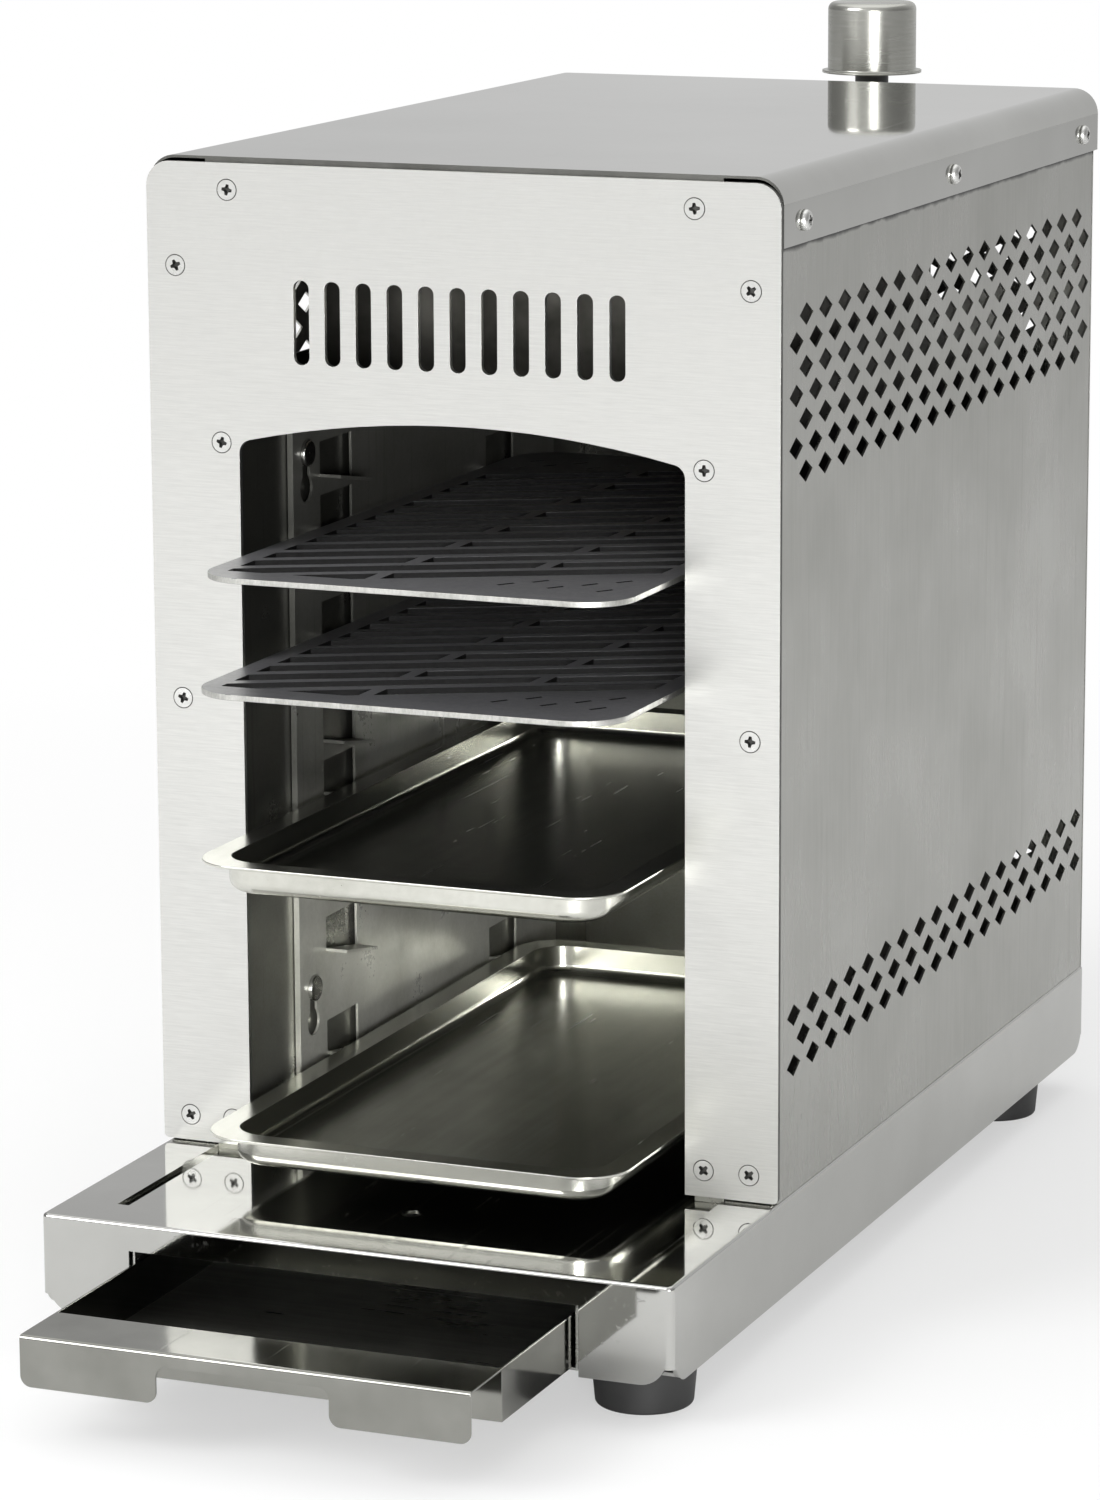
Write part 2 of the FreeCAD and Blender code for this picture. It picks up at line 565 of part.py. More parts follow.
# Grease drawer: an open pan whose front wall runs on as a folded handle with a finger notch
def grease_drawer():
    body = new_body("grease_drawer")
    half = "drawer_width / 2"
    grow(body, "block", "XY", "0", "drawer_rise",
         rectangle(f"-{half}", half, "0", "drawer_length"))
    cut(body, "inside", "XY", "drawer_sheet", "drawer_rise",
        rectangle(f"-{half} + drawer_sheet", f"{half} - drawer_sheet",
                  "drawer_sheet", "drawer_length - drawer_sheet"))
    grow(body, "handle", "YZ", f"-{half}", "drawer_width",
         corners(("0", "drawer_rise"), ("-handle_reach", "drawer_rise", "handle_bend"),
                 ("-handle_reach", "drawer_rise - handle_drop"),
                 ("drawer_sheet - handle_reach", "drawer_rise - handle_drop"),
                 ("drawer_sheet - handle_reach", "drawer_rise - drawer_sheet",
                  "handle_bend - drawer_sheet"),
                 ("0", "drawer_rise - drawer_sheet")))
    cut(body, "notch", "XZ", "-handle_reach", "drawer_sheet",
        rectangle("-notch_width / 2", "notch_width / 2",
                  "drawer_rise - handle_drop - 1", "drawer_rise - notch_keep"))
    lip = "drawer_rise - handle_drop"
    round_edges(body, "handle_corners", "handle_corner", lambda edge: (
        edge.BoundBox.YMax < value("drawer_sheet - handle_reach") + 0.01
        and edge.BoundBox.XLength < 1e-3 and edge.BoundBox.ZLength < 1e-3
        and (abs(edge.BoundBox.ZMin - value(lip)) < 1e-3
             or abs(edge.BoundBox.ZMin - value("drawer_rise - notch_keep")) < 1e-3)))
    return seat(body, "0", "drawer_front", "drawer_floor")


# Front panel: a thick plate with an arched opening, a row of slots and countersunk screws
def front_panel():
    body = new_body("front_panel")
    half = "panel_width / 2"
    grow(body, "plate", "XZ", "panel_face", "panel_sheet",
         corners((f"-{half}", "panel_foot", "panel_foot_radius"),
                 (half, "panel_foot", "panel_foot_radius"),
                 (half, "panel_top", "panel_top_radius"),
                 (f"-{half}", "panel_top", "panel_top_radius")))
    cut(body, "opening", "XZ", "panel_face", "panel_sheet", arched_opening)
    round_edges(body, "arch_corners", "arch_corner_radius", lambda edge: (
        at(edge, z=above("arch_spring_height")) and edge.BoundBox.XLength < 1e-3))
    start = "-front_slot_pitch * (front_slot_count - 1) / 2"
    slot = cut(body, "slot", "XZ", "panel_face", "panel_sheet",
               rectangle(f"{start} - front_slot_width / 2", f"{start} + front_slot_width / 2",
                         above("front_slot_height - front_slot_rise / 2"),
                         above("front_slot_height + front_slot_rise / 2"), "front_slot_radius"))
    repeat(body, "slots", slot, "X", "front_slot_count", "front_slot_pitch")
    cut(body, "screw_holes", "XZ", "panel_face", "panel_sheet",
        *[circle(x, z, SCREW_HOLE) for x, z in FRONT_SCREWS])
    dress(body, "countersinks", "Chamfer", "Size", "flush_head_rise",
          lambda edge: at(edge, y="panel_face") and edge.Curve.TypeId == "Part::GeomCircle"
          and abs(edge.Curve.Radius - value(SCREW_HOLE) / 2) < 1e-3)
    return body


def arched_opening(sketch):
    """The opening's outline: two upright sides, open at the foot, under a shallow arc."""
    half, foot, spring = "opening_width / 2", "panel_foot", above("arch_spring_height")
    spots = [(f"-{half}", spring), (f"-{half}", foot), (half, foot), (half, spring)]
    points = [V(value(x), value(z), 0) for x, z in spots]
    crown = V(0, value(above("arch_crown_height")), 0)
    sides = [sketch.addGeometry(Part.LineSegment(points[i], points[i + 1]), False)
             for i in range(3)]
    arc = sketch.addGeometry(Part.Arc(points[3], crown, points[0]), False)
    for before, after in zip(sides, sides[1:]):
        sketch.addConstraint(Sketcher.Constraint("Coincident", before, 2, after, 1))
    sketch.addConstraint(Sketcher.Constraint("Coincident", sides[2], 2, arc, 1))
    sketch.addConstraint(Sketcher.Constraint("Coincident", sides[0], 1, arc, 2))
    for side, end, spot in ((sides[0], 1, spots[0]), (sides[1], 1, spots[1]),
                            (sides[2], 1, spots[2]), (sides[2], 2, spots[3])):
        add_size(sketch, ("DistanceX", -1, 1, side, end), spot[0])
        add_size(sketch, ("DistanceY", -1, 1, side, end), spot[1])
    top = sketch.addGeometry(Part.Point(crown), True)
    sketch.addConstraint(Sketcher.Constraint("PointOnObject", top, 1, arc))
    sketch.addConstraint(Sketcher.Constraint("PointOnObject", top, 1, -2))
    add_size(sketch, ("DistanceY", -1, 1, top, 1), above("arch_crown_height"))


def cross_recess(body, top):
    """The cross-shaped driver recess in a screw head."""
    long, short = "cross_length / 2", "cross_width / 2"
    signs = ((1, 1), (-1, 1), (-1, -1), (1, -1))
    spots = []
    for x_sign, y_sign in signs:
        reach, inner = (long, short), (short, long)
        pair = [(f"{x_sign} * {reach[0]}", f"{y_sign} * {reach[1]}"),
                (f"{x_sign} * {short}", f"{y_sign} * {short}"),
                (f"{x_sign} * {inner[0]}", f"{y_sign} * {inner[1]}")]
        spots += pair if x_sign * y_sign > 0 else pair[::-1]
    cut(body, "cross", "XY", f"{top} - cross_sink", "cross_sink", corners(*spots))


# Screw patterns that the groups repeat: the head is up, and the origin is where it seats
def flush_screw():
    body = new_body("flush_screw_pattern")
    turn(body, "shape", "Revolution", ("0", "0"), ("flush_head_diameter / 2", "0"),
         ("screw_diameter / 2", "screw_diameter / 2 - flush_head_diameter / 2"),
         ("screw_diameter / 2", "-screw_length"), ("0", "-screw_length"))
    cross_recess(body, "0")
    return body


def pan_screw():
    body = new_body("pan_screw_pattern")
    turn(body, "shape", "Revolution", ("0", "pan_head_rise"),
         ("pan_head_diameter / 2", "pan_head_rise", "pan_head_rise * 0.8"),
         ("pan_head_diameter / 2", "0"), ("screw_diameter / 2", "0"),
         ("screw_diameter / 2", "-screw_length"), ("0", "-screw_length"))
    cross_recess(body, "pan_head_rise")
    return body


def fasteners():
    flush, pan = flush_screw(), pan_screw()
    skin = "cover_width / 2"
    return [
        group("front_panel_screws", flush, [(x, "panel_face + screw_clearance", z, *TO_FRONT)
                                            for x, z in FRONT_SCREWS]),
        group("cover_screws", pan, [(x, behind(depth), above("cover_screw_height"), *way)
                                    for x, way in ((skin, TO_RIGHT), (f"-{skin}", TO_LEFT))
                                    for depth in COVER_SCREW_DEPTHS]),
        group("rear_panel_screws", pan, [(x, "rear_back", z, *TO_REAR) for x, z in REAR_SCREWS]),
        group("side_footing_screws", pan,
              [(x, behind(depth), "base_top - base_sheet", *DOWN)
               for x in both(FOOTING_SCREW_X) for depth in FOOTING_DEPTHS]),
        group("foot_screws", pan, [(x, y, "foot_recess_rise", *DOWN)
                                   for x, y in FOOT_SPOTS.values()]),
        group("bracket_screws", pan, [(x, "rear_back + bracket_sheet", z, *TO_REAR)
                                      for x, z in BRACKET_SCREWS]),
    ]


def vents(body, plane, at_face, sheet, start, columns):
    """Two bands of diamond vents: rows of the full count, with rows of one fewer in between."""
    bands = {
        "high_full": ("vent_top_height - 5 * vent_row_pitch", 3, columns, "0"),
        "high_between": ("vent_top_height - 6 * vent_row_pitch", 4, f"{columns} - 1", "1"),
        "low_full": ("vent_low_height", 2, columns, "0"),
        "low_between": ("vent_low_height + vent_row_pitch", 1, f"{columns} - 1", "1"),
    }
    along = "X" if plane == "XZ" else "Y"
    for name, (height, rows, count, shifted) in bands.items():
        x, z = f"({start}) + {shifted} * vent_pitch / 2", above(height)
        vent = cut(body, f"vent_{name}", plane, at_face, sheet,
                   corners((f"{x} - vent_width / 2", z), (x, f"{z} - vent_rise / 2"),
                           (f"{x} + vent_width / 2", z), (x, f"{z} + vent_rise / 2")))
        rows_up = ("Z", str(rows), "2 * vent_row_pitch") if rows > 1 else None
        repeat(body, f"vents_{name}", vent, along, count, "vent_pitch", rows_up)


# Side panels: sheet folded at the front, the rear and the foot, with two bands of vents
def side_panels():
    body = new_body("side_panel_right")
    front_in = "side_face - side_front_flange"
    rear_in = "side_face - side_rear_flange"
    front, rear = "panel_back", "side_rear"
    grow(body, "channel", "XY", "base_top", "side_top - base_top",
         corners((front_in, front), ("side_face", front, "side_bend"),
                 ("side_face", rear, "side_bend"), (rear_in, rear),
                 (rear_in, f"{rear} - side_sheet"),
                 ("side_inner", f"{rear} - side_sheet", "side_bend - side_sheet"),
                 ("side_inner", f"{front} + side_sheet", "side_bend - side_sheet"),
                 (front_in, f"{front} + side_sheet")))
    grow(body, "foot_flange", "XY", "base_top", "side_sheet",
         rectangle(rear_in, "side_inner + side_sheet / 2", f"{front} + side_bend",
                   f"{rear} - side_bend"))
    round_edges(body, "foot_bend", "side_foot_bend",
                lambda edge: at(edge, x="side_face", z="base_top"))
    cut(body, "cover_screw_holes", "YZ", "side_inner", "side_sheet",
        *[circle(behind(depth), above("cover_screw_height"), SCREW_HOLE)
          for depth in COVER_SCREW_DEPTHS])
    cut(body, "front_screw_holes", "XZ", "panel_back", "side_sheet",
        *[circle(x, z, SCREW_HOLE) for x, z in FRONT_SCREWS[:3]])
    cut(body, "rear_screw_holes", "XZ", "side_rear - side_sheet", "side_sheet",
        *[circle(x, z, SCREW_HOLE) for x, z in REAR_SCREWS[:3]])
    cut(body, "footing_holes", "XY", "base_top", "side_sheet",
        *[circle(FOOTING_SCREW_X, behind(depth), SCREW_HOLE) for depth in FOOTING_DEPTHS])
    vents(body, "YZ", "side_inner", "side_sheet", behind("vent_start_depth"), "vent_side_columns")
    return [body, mirrored(body, "side_panel_left")]


# Rear panel: flat sheet with vents, holes for the mixing tube and the leads
def rear_panel():
    body = new_body("rear_panel")
    half = "side_face - rear_side_gap"
    bend = "cover_bend - cover_sheet"
    grow(body, "plate", "XZ", "side_rear", "rear_sheet",
         corners((f"-({half})", "base_top"), (half, "base_top"),
                 (half, "cover_ceiling - rear_top_gap", bend),
                 (f"-({half})", "cover_ceiling - rear_top_gap", bend)))
    cut(body, "screw_holes", "XZ", "side_rear", "rear_sheet",
        *[circle(x, z, SCREW_HOLE) for x, z in REAR_SCREWS + BRACKET_SCREWS])
    cut(body, "gas_holes", "XZ", "side_rear", "rear_sheet", *gas_holes())
    vents(body, "XZ", "side_rear", "rear_sheet", "-vent_pitch * (vent_rear_columns - 1) / 2",
          "vent_rear_columns")
    return body


def gas_holes():
    """Holes for the mixing tube and, beside it, the two leads."""
    return [circle("0", "mixer_axis", "mixer_diameter + 2 * mixer_hole_gap")] + [
        circle(x, "mixer_axis", "lead_diameter + 2 * lead_hole_gap")
        for x in both("probe_offset")]


# Top cover: a folded hood over the side panels, with an inner lip at the front and the rear
def top_cover():
    body = new_body("top_cover")
    half, inner = "cover_width / 2", "cover_width / 2 - cover_sheet"
    hem = "cover_top - cover_skirt_rise"
    grow(body, "hood", "XZ", "cover_front", "cover_rear - cover_front",
         corners((f"-{half}", hem), (f"-{half}", "cover_top", "cover_bend"),
                 (half, "cover_top", "cover_bend"), (half, hem), (inner, hem),
                 (inner, "cover_ceiling", "cover_bend - cover_sheet"),
                 (f"-({inner})", "cover_ceiling", "cover_bend - cover_sheet"),
                 (f"-({inner})", hem)))
    for name, place in (("front", "cover_front"), ("rear", "side_rear - cover_sheet")):
        grow(body, f"{name}_lip", "XZ", place, "cover_sheet",
             rectangle("-cover_lip_width / 2", "cover_lip_width / 2",
                       "cover_ceiling - cover_lip_rise", "cover_top - cover_sheet / 2"))
    cut(body, "side_screw_holes", "YZ", "-cover_width / 2", "cover_width",
        *[circle(behind(depth), above("cover_screw_height"), SCREW_HOLE)
          for depth in COVER_SCREW_DEPTHS])
    cut(body, "front_screw_holes", "XZ", "cover_front", "cover_sheet",
        *[circle(x, z, SCREW_HOLE) for x, z in FRONT_SCREWS[-2:]])
    cut(body, "rear_screw_holes", "XZ", "side_rear - cover_sheet", "cover_sheet",
        *[circle(x, z, SCREW_HOLE) for x, z in REAR_SCREWS[-2:]])
    return body


# Heat shield welded between the side panels, above the burner
def heat_shield():
    body = new_body("heat_shield")
    top = "panel_foot + shield_height + shield_sheet"
    flange_foot = "panel_foot + shield_height - shield_flange"
    grow(body, "channel", "XZ", behind("shield_front_depth"), "shield_length",
         corners(("-side_inner", flange_foot), ("-side_inner", top), ("side_inner", top),
                 ("side_inner", flange_foot), ("side_inner - shield_sheet", flange_foot),
                 ("side_inner - shield_sheet", f"{top} - shield_sheet"),
                 ("shield_sheet - side_inner", f"{top} - shield_sheet"),
                 ("shield_sheet - side_inner", flange_foot)))
    return body


# Chamber side walls, each with a flange behind the front panel and one on the recess
def chamber_liners():
    body = new_body("chamber_liner_right")
    back = "liner_face + liner_sheet"
    flange = "liner_face + liner_front_flange"
    grow(body, "angle", "XY", "chamber_floor", "panel_foot + liner_top_height - chamber_floor",
         corners(("liner_face", "panel_back"), (flange, "panel_back"),
                 (flange, "panel_back + liner_sheet"), (back, "panel_back + liner_sheet"),
                 (back, "liner_back"), ("liner_face", "liner_back")))
    grow(body, "foot_flange", "XY", "chamber_floor", "liner_sheet",
         rectangle(f"{back} - liner_sheet / 2", f"{back} + liner_foot_flange",
                   "panel_back + 2 * liner_sheet", "chamber_rear"))
    cut(body, "front_screw_holes", "XZ", "panel_back", "liner_sheet",
        *[circle(x, z, SCREW_HOLE) for x, z in FRONT_SCREWS[6:8]])
    cut(body, "stud_holes", "YZ", "liner_face", "liner_sheet",
        *[circle(y, z, "stud_diameter") for y, z in STUD_SPOTS])
    return [body, mirrored(body, "chamber_liner_left")]


# Chamber rear wall and ceiling, folded channels welded between the side walls
def chamber_rear_wall():
    body = new_body("chamber_rear_wall")
    inner = "liner_face - wall_sheet"
    grow(body, "channel", "XY", "chamber_floor", "ceiling - chamber_floor",
         corners(("-liner_face", "chamber_rear"), ("liner_face", "chamber_rear"),
                 ("liner_face", "liner_back"), (inner, "liner_back"),
                 (inner, "chamber_rear + wall_sheet"),
                 (f"-({inner})", "chamber_rear + wall_sheet"), (f"-({inner})", "liner_back"),
                 ("-liner_face", "liner_back")))
    return body


def chamber_ceiling():
    body = new_body("chamber_ceiling")
    inner, top = "liner_face - ceiling_sheet", "ceiling + wall_flange"
    grow(body, "channel", "XZ", "panel_back", "liner_back - panel_back",
         corners(("-liner_face", "ceiling"), ("liner_face", "ceiling"), ("liner_face", top),
                 (inner, top), (inner, "ceiling_top"), (f"-({inner})", "ceiling_top"),
                 (f"-({inner})", top), ("-liner_face", top)))
    lip = "frame_lip - ceiling_sheet"
    cut(body, "burner_window", "XY", "ceiling", "ceiling_sheet",
        rectangle(f"-burner_width / 2 + {lip}", f"burner_width / 2 - ({lip})",
                  f"burner_front + {lip}", f"burner_front + burner_length - ({lip})"))
    cut(body, "probe_holes", "XY", "ceiling", "ceiling_sheet",
        circle("probe_offset", "probe_y", "probe_diameter + 2 * screw_clearance"),
        circle("-probe_offset", "probe_y", "insulator_diameter + 2 * screw_clearance"))
    return body


# Punched racks: tabs bent inwards under slanted windows carry the grates and trays
def racks():
    body = new_body("rack_right")
    face, back, lip = "rack_face", "rack_face + rack_sheet", "liner_face - rack_flange_gap"
    rear = "rack_front + rack_length"
    low, high = above("rack_low_height"), above("rack_high_height")
    grow(body, "plate", "XY", low, f"{high} - ({low})",
         corners((face, "rack_front"), (lip, "rack_front"), (lip, "rack_front + rack_sheet"),
                 (back, "rack_front + rack_sheet"), (back, f"{rear} - rack_sheet"),
                 (lip, f"{rear} - rack_sheet"), (lip, rear), (face, rear)))
    level_rows = (("lowest", "level_low_height", "1"),
                  ("upper", "level_low_height + 2 * level_pitch", "10"))
    for name, height, count in level_rows:
        y, z = behind("tab_front_depth"), above(height)
        y_end = f"{y} + tab_length"
        rows_up = ("Z", count, "level_pitch") if count != "1" else None
        window = cut(body, f"{name}_window", "YZ", face, "rack_sheet",
                     corners((y, z), (y_end, f"{z} - tab_drop"), (y_end, f"{z} + window_rise"),
                             (y, f"{z} + window_rise")))
        repeat(body, f"{name}_windows", window, "Y", "2", "tab_rear_depth - tab_front_depth",
               rows_up)
        tab = grow(body, f"{name}_tab", "YZ", f"{back} - rack_sheet - tab_reach",
                   "rack_sheet + tab_reach",
                   corners((y, z), (y, f"{z} - tab_sheet"),
                           (y_end, f"{z} - tab_drop - tab_sheet"), (y_end, f"{z} - tab_drop")))
        repeat(body, f"{name}_tabs", tab, "Y", "2", "tab_rear_depth - tab_front_depth", rows_up)
    neck = "stud_diameter + 2 * stud_fit"
    cut(body, "keyholes", "YZ", face, "rack_sheet",
        *[circle(y, f"{z} - keyhole_drop", "stud_head_diameter + 4 * stud_fit")
          for y, z in STUD_SPOTS])
    cut(body, "keyhole_necks", "YZ", face, "rack_sheet",
        *[rectangle(f"{y} - ({neck}) / 2", f"{y} + ({neck}) / 2", f"{z} - keyhole_drop",
                    f"{z} + ({neck}) / 2", "stud_diameter / 2") for y, z in STUD_SPOTS])
    return [body, mirrored(body, "rack_left")]


# Shoulder studs riveted through the chamber walls, on which the racks hang
def rack_studs():
    body = new_body("rack_stud_pattern")
    shoulder, neck = "stud_head_diameter / 2", "stud_diameter / 2"
    spacer, plate = "rack_gap - stud_fit", "rack_gap + rack_sheet + stud_fit"
    turn(body, "shape", "Revolution", ("0", "-liner_sheet"), (neck, "-liner_sheet"), (neck, "0"),
         (shoulder, "0"), (shoulder, spacer), (neck, spacer), (neck, plate), (shoulder, plate),
         (shoulder, f"{plate} + stud_head_rise", "stud_head_rise / 2"),
         ("0", f"{plate} + stud_head_rise"))
    return group("rack_studs", body,
                 [(x, y, z, *way) for x, way in (("liner_face", TO_LEFT), ("-liner_face", TO_RIGHT))
                  for y, z in STUD_SPOTS])


# Grate plate: slanted slots inside a plain border, with short bridges and corner dashes
def grate(label, pulled_out, level):
    body = new_body(label)
    half_width, half_length = "plate_width / 2", "grate_length / 2"
    field_x = f"{half_width} - grate_side_margin"
    field_y = f"{half_length} - grate_end_margin"
    overlap = "grate_sheet / 2"
    grow(body, "field", "XY", "0", "grate_sheet",
         rectangle(f"-({field_x}) - {overlap}", f"{field_x} + {overlap}",
                   f"-({field_y}) - {overlap}", f"{field_y} + {overlap}"))
    first = "-grate_slot_pitch * (grate_slot_count - 1) / 2"
    lean = "tan(grate_slot_angle)"
    slot = cut(body, "slot", "XY", "0", "grate_sheet",
               slanted(f"-{half_width}", half_width, first, lean,
                       "grate_slot_width / cos(grate_slot_angle)"))
    repeat(body, "slots", slot, "Y", "grate_slot_count", "grate_slot_pitch")
    grow(body, "border", "XY", "0", "grate_sheet",
         rectangle(f"-{half_width}", half_width, f"-{half_length}", half_length,
                   "grate_corner_radius"),
         rectangle(f"-({field_x})", field_x, f"-({field_y})", field_y))
    patch = "grate_slot_width / cos(grate_slot_angle) + grate_sheet"
    for side, x, start, count in (
            ("left", "-left_bridge_offset", first, "(grate_slot_count + 1) / 2"),
            ("right", "right_bridge_offset", f"{first} + grate_slot_pitch",
             "(grate_slot_count - 1) / 2")):
        bridge = grow(body, f"{side}_bridge", "XY", "0", "grate_sheet",
                      slanted(f"{x} - bridge_width / 2", f"{x} + bridge_width / 2", start, lean,
                              patch))
        repeat(body, f"{side}_bridges", bridge, "Y", count, "2 * grate_slot_pitch")
    dashes = cut(body, "dashes", "XY", "0", "grate_sheet",
                 *[dash(row, column) for row, column in ((0, 0), (0, 1), (0, 2), (1, 0), (1, 1),
                                                         (2, 1))])
    turned_copy(body, "dashes_turned", dashes)
    return seat(body, "0", f"panel_face - {pulled_out} + {half_length}",
                f"{above('level_low_height')} + {level} * level_pitch + slide_clearance")


def slanted(x_low, x_high, y, lean, height):
    """A strip with upright ends that climbs with the slots' lean and passes x = 0 at y."""
    return corners(*[(x, f"{y} + ({x}) * {lean} {sign} ({height}) / 2")
                     for x, sign in ((x_low, "-"), (x_high, "-"), (x_high, "+"), (x_low, "+"))])


def dash(row, column):
    """One short tilted dash of the corner pattern: rows step up and half a pitch to the right."""
    x = f"(dash_start_x + {column} * dash_pitch + {row} * dash_pitch / 2)"
    y = f"(dash_start_y - grate_length / 2 + {row} * dash_row_rise)"
    spots = []
    for along, across in ((-1, -1), (1, -1), (1, 1), (-1, 1)):
        reach, half = f"{along} * dash_length / 2", f"{across} * dash_width / 2"
        spots.append((f"{x} + {reach} * cos(dash_angle) - {half} * sin(dash_angle)",
                      f"{y} + {reach} * sin(dash_angle) + {half} * cos(dash_angle)"))
    return corners(*spots)


# Drawn tray: a flat rim round a shallow pan
def tray(label, pulled_out, level):
    body = new_body(label)
    half_width, half_length = "plate_width / 2", "tray_length / 2"
    well_x, well_y = f"{half_width} - tray_rim_width", f"{half_length} - tray_rim_width"
    inner_radius = "tray_corner_radius - tray_rim_width / 2"
    grow(body, "rim", "XY", "0", "tray_sheet",
         rectangle(f"-{half_width}", half_width, f"-{half_length}", half_length,
                   "tray_corner_radius"))
    grow(body, "pan", "XY", "tray_sheet - tray_sink", "tray_sink",
         rectangle(f"-({well_x}) - tray_sheet", f"{well_x} + tray_sheet",
                   f"-({well_y}) - tray_sheet", f"{well_y} + tray_sheet",
                   f"{inner_radius} + tray_sheet"))
    cut(body, "well", "XY", "2 * tray_sheet - tray_sink", "tray_sink - tray_sheet",
        rectangle(f"-({well_x})", well_x, f"-({well_y})", well_y, inner_radius))
    round_edges(body, "well_bend", "tray_bottom_radius - tray_sheet",
                lambda edge: at(edge, z="2 * tray_sheet - tray_sink"))
    round_edges(body, "pan_bend", "tray_bottom_radius",
                lambda edge: at(edge, z="tray_sheet - tray_sink"))
    return seat(body, "0", f"panel_face - {pulled_out} + {half_length}",
                f"{above('level_low_height')} + {level} * level_pitch + slide_clearance")


# Ceiling burner: tiles on a frame over the ceiling's window, under a flanged housing
def burner():
    half, rear = "burner_width / 2", "burner_front + burner_length"
    frame = new_body("burner_frame")
    grow(frame, "ring", "XY", "ceiling_top", "frame_sheet",
         rectangle(f"-{half} - frame_flange", f"{half} + frame_flange",
                   "burner_front - frame_flange", f"{rear} + frame_flange"),
         rectangle(f"-{half} + frame_lip", f"{half} - frame_lip",
                   "burner_front + frame_lip", f"{rear} - frame_lip"))
    tiles = new_body("burner_tiles")
    tile = grow(tiles, "tile", "XY", "burner_seat", "tile_rise",
                rectangle(f"-{half}", half, "burner_front",
                          "burner_front + (burner_length + tile_gap) / tile_count - tile_gap"))
    repeat(tiles, "tiles", tile, "Y", "tile_count", "(burner_length + tile_gap) / tile_count")
    housing = new_body("burner_housing")
    box = "burner_play + burner_sheet"
    grow(housing, "flange", "XY", "burner_seat", "burner_sheet",
         rectangle(f"-{half} - frame_flange", f"{half} + frame_flange",
                   "burner_front - frame_flange", f"{rear} + frame_flange"))
    grow(housing, "box", "XY", "burner_seat", "burner_rise",
         rectangle(f"-{half} - ({box})", f"{half} + {box}", f"burner_front - ({box})",
                   f"{rear} + {box}"))
    cut(housing, "inside", "XY", "burner_seat", "burner_rise - burner_sheet",
        rectangle(f"-{half} - burner_play", f"{half} + burner_play",
                  "burner_front - burner_play", f"{rear} + burner_play"))
    cut(housing, "mixer_hole", "XZ", f"{rear} + burner_play", "burner_sheet",
        circle("0", "mixer_axis", "mixer_diameter"))
    return [frame, tiles, housing]


# Mixing tube: from the burner out through the rear panel to a flared mouth round the jet
def mixing_tube():
    body = new_body("mixing_tube")
    start = "burner_front + burner_length + burner_play - mixer_insertion"
    length = f"mixer_mouth_depth + panel_face - ({start})"
    outer, mouth = "mixer_diameter / 2", "mixer_mouth_diameter / 2"
    turn(body, "tube", "Revolution", (f"{outer} - mixer_sheet", "0"), (outer, "0"),
         (outer, f"{length} - mixer_mouth_length"), (mouth, length),
         (f"{mouth} - mixer_sheet", length),
         (f"{outer} - mixer_sheet", f"{length} - mixer_mouth_length"))
    return seat(body, "0", start, "mixer_axis", *TO_REAR)


# Temperature probe and spark electrode, hanging through the ceiling behind the burner
def probes():
    probe = new_body("thermocouple")
    half, collar = "probe_diameter / 2", "probe_collar_diameter / 2"
    turn(probe, "shape", "Revolution", ("0", "-probe_reach"), (half, "-probe_reach", "probe_tip_radius"),
         (half, "ceiling_sheet"), (collar, "ceiling_sheet"),
         (collar, "ceiling_sheet + probe_collar_rise"), (half, "ceiling_sheet + probe_collar_rise"),
         (half, "ceiling_sheet + probe_neck_rise"), ("0", "ceiling_sheet + probe_neck_rise"))
    electrode = new_body("spark_electrode")
    wire, sleeve = "lead_diameter / 2", "insulator_diameter / 2"
    turn(electrode, "shape", "Revolution", ("0", "-probe_reach"), (wire, "-probe_reach"),
         (wire, "-probe_reach / 2"), (sleeve, "-probe_reach / 2"), (sleeve, "0"),
         (sleeve, "ceiling_sheet"), (collar, "ceiling_sheet"),
         (collar, "ceiling_sheet + probe_collar_rise"),
         (sleeve, "ceiling_sheet + probe_collar_rise"),
         (sleeve, "ceiling_sheet + probe_neck_rise"), ("0", "ceiling_sheet + probe_neck_rise"))
    return [seat(probe, "probe_offset", "probe_y", "ceiling"),
            seat(electrode, "-probe_offset", "probe_y", "ceiling")]


def lead(label, x):
    """A stiff lead in one upright plane: up from its probe, one bend, then back to the valve."""
    start = V(value(x), value("probe_y"), value("ceiling_top + probe_neck_rise"))
    corner = V(start.x, start.y, value("mixer_axis"))
    end = V(start.x, value("valve_axis - valve_length / 2"), corner.z)
    bend = min(value("lead_bend"), corner.z - start.z)
    into = corner - V(0, 0, bend)
    out_of = corner + V(0, bend, 0)
    middle = corner + V(0, bend, -bend) * (1 - math.sqrt(0.5))
    edges = [Part.Arc(into, middle, out_of).toShape(), Part.LineSegment(out_of, end).toShape()]
    if (into - start).Length > 1e-3:
        edges.insert(0, Part.LineSegment(start, into).toShape())
    path = Part.Wire(edges)
    ring = Part.Wire(Part.makeCircle(value("lead_diameter") / 2, start, V(0, 0, 1)))
    piece = doc.addObject("Part::Feature", label)
    piece.Label = label
    piece.Shape = path.makePipeShell([ring], True, True)
    print(label, "bend radius", bend, "length", round(path.Length, 1))
    return piece


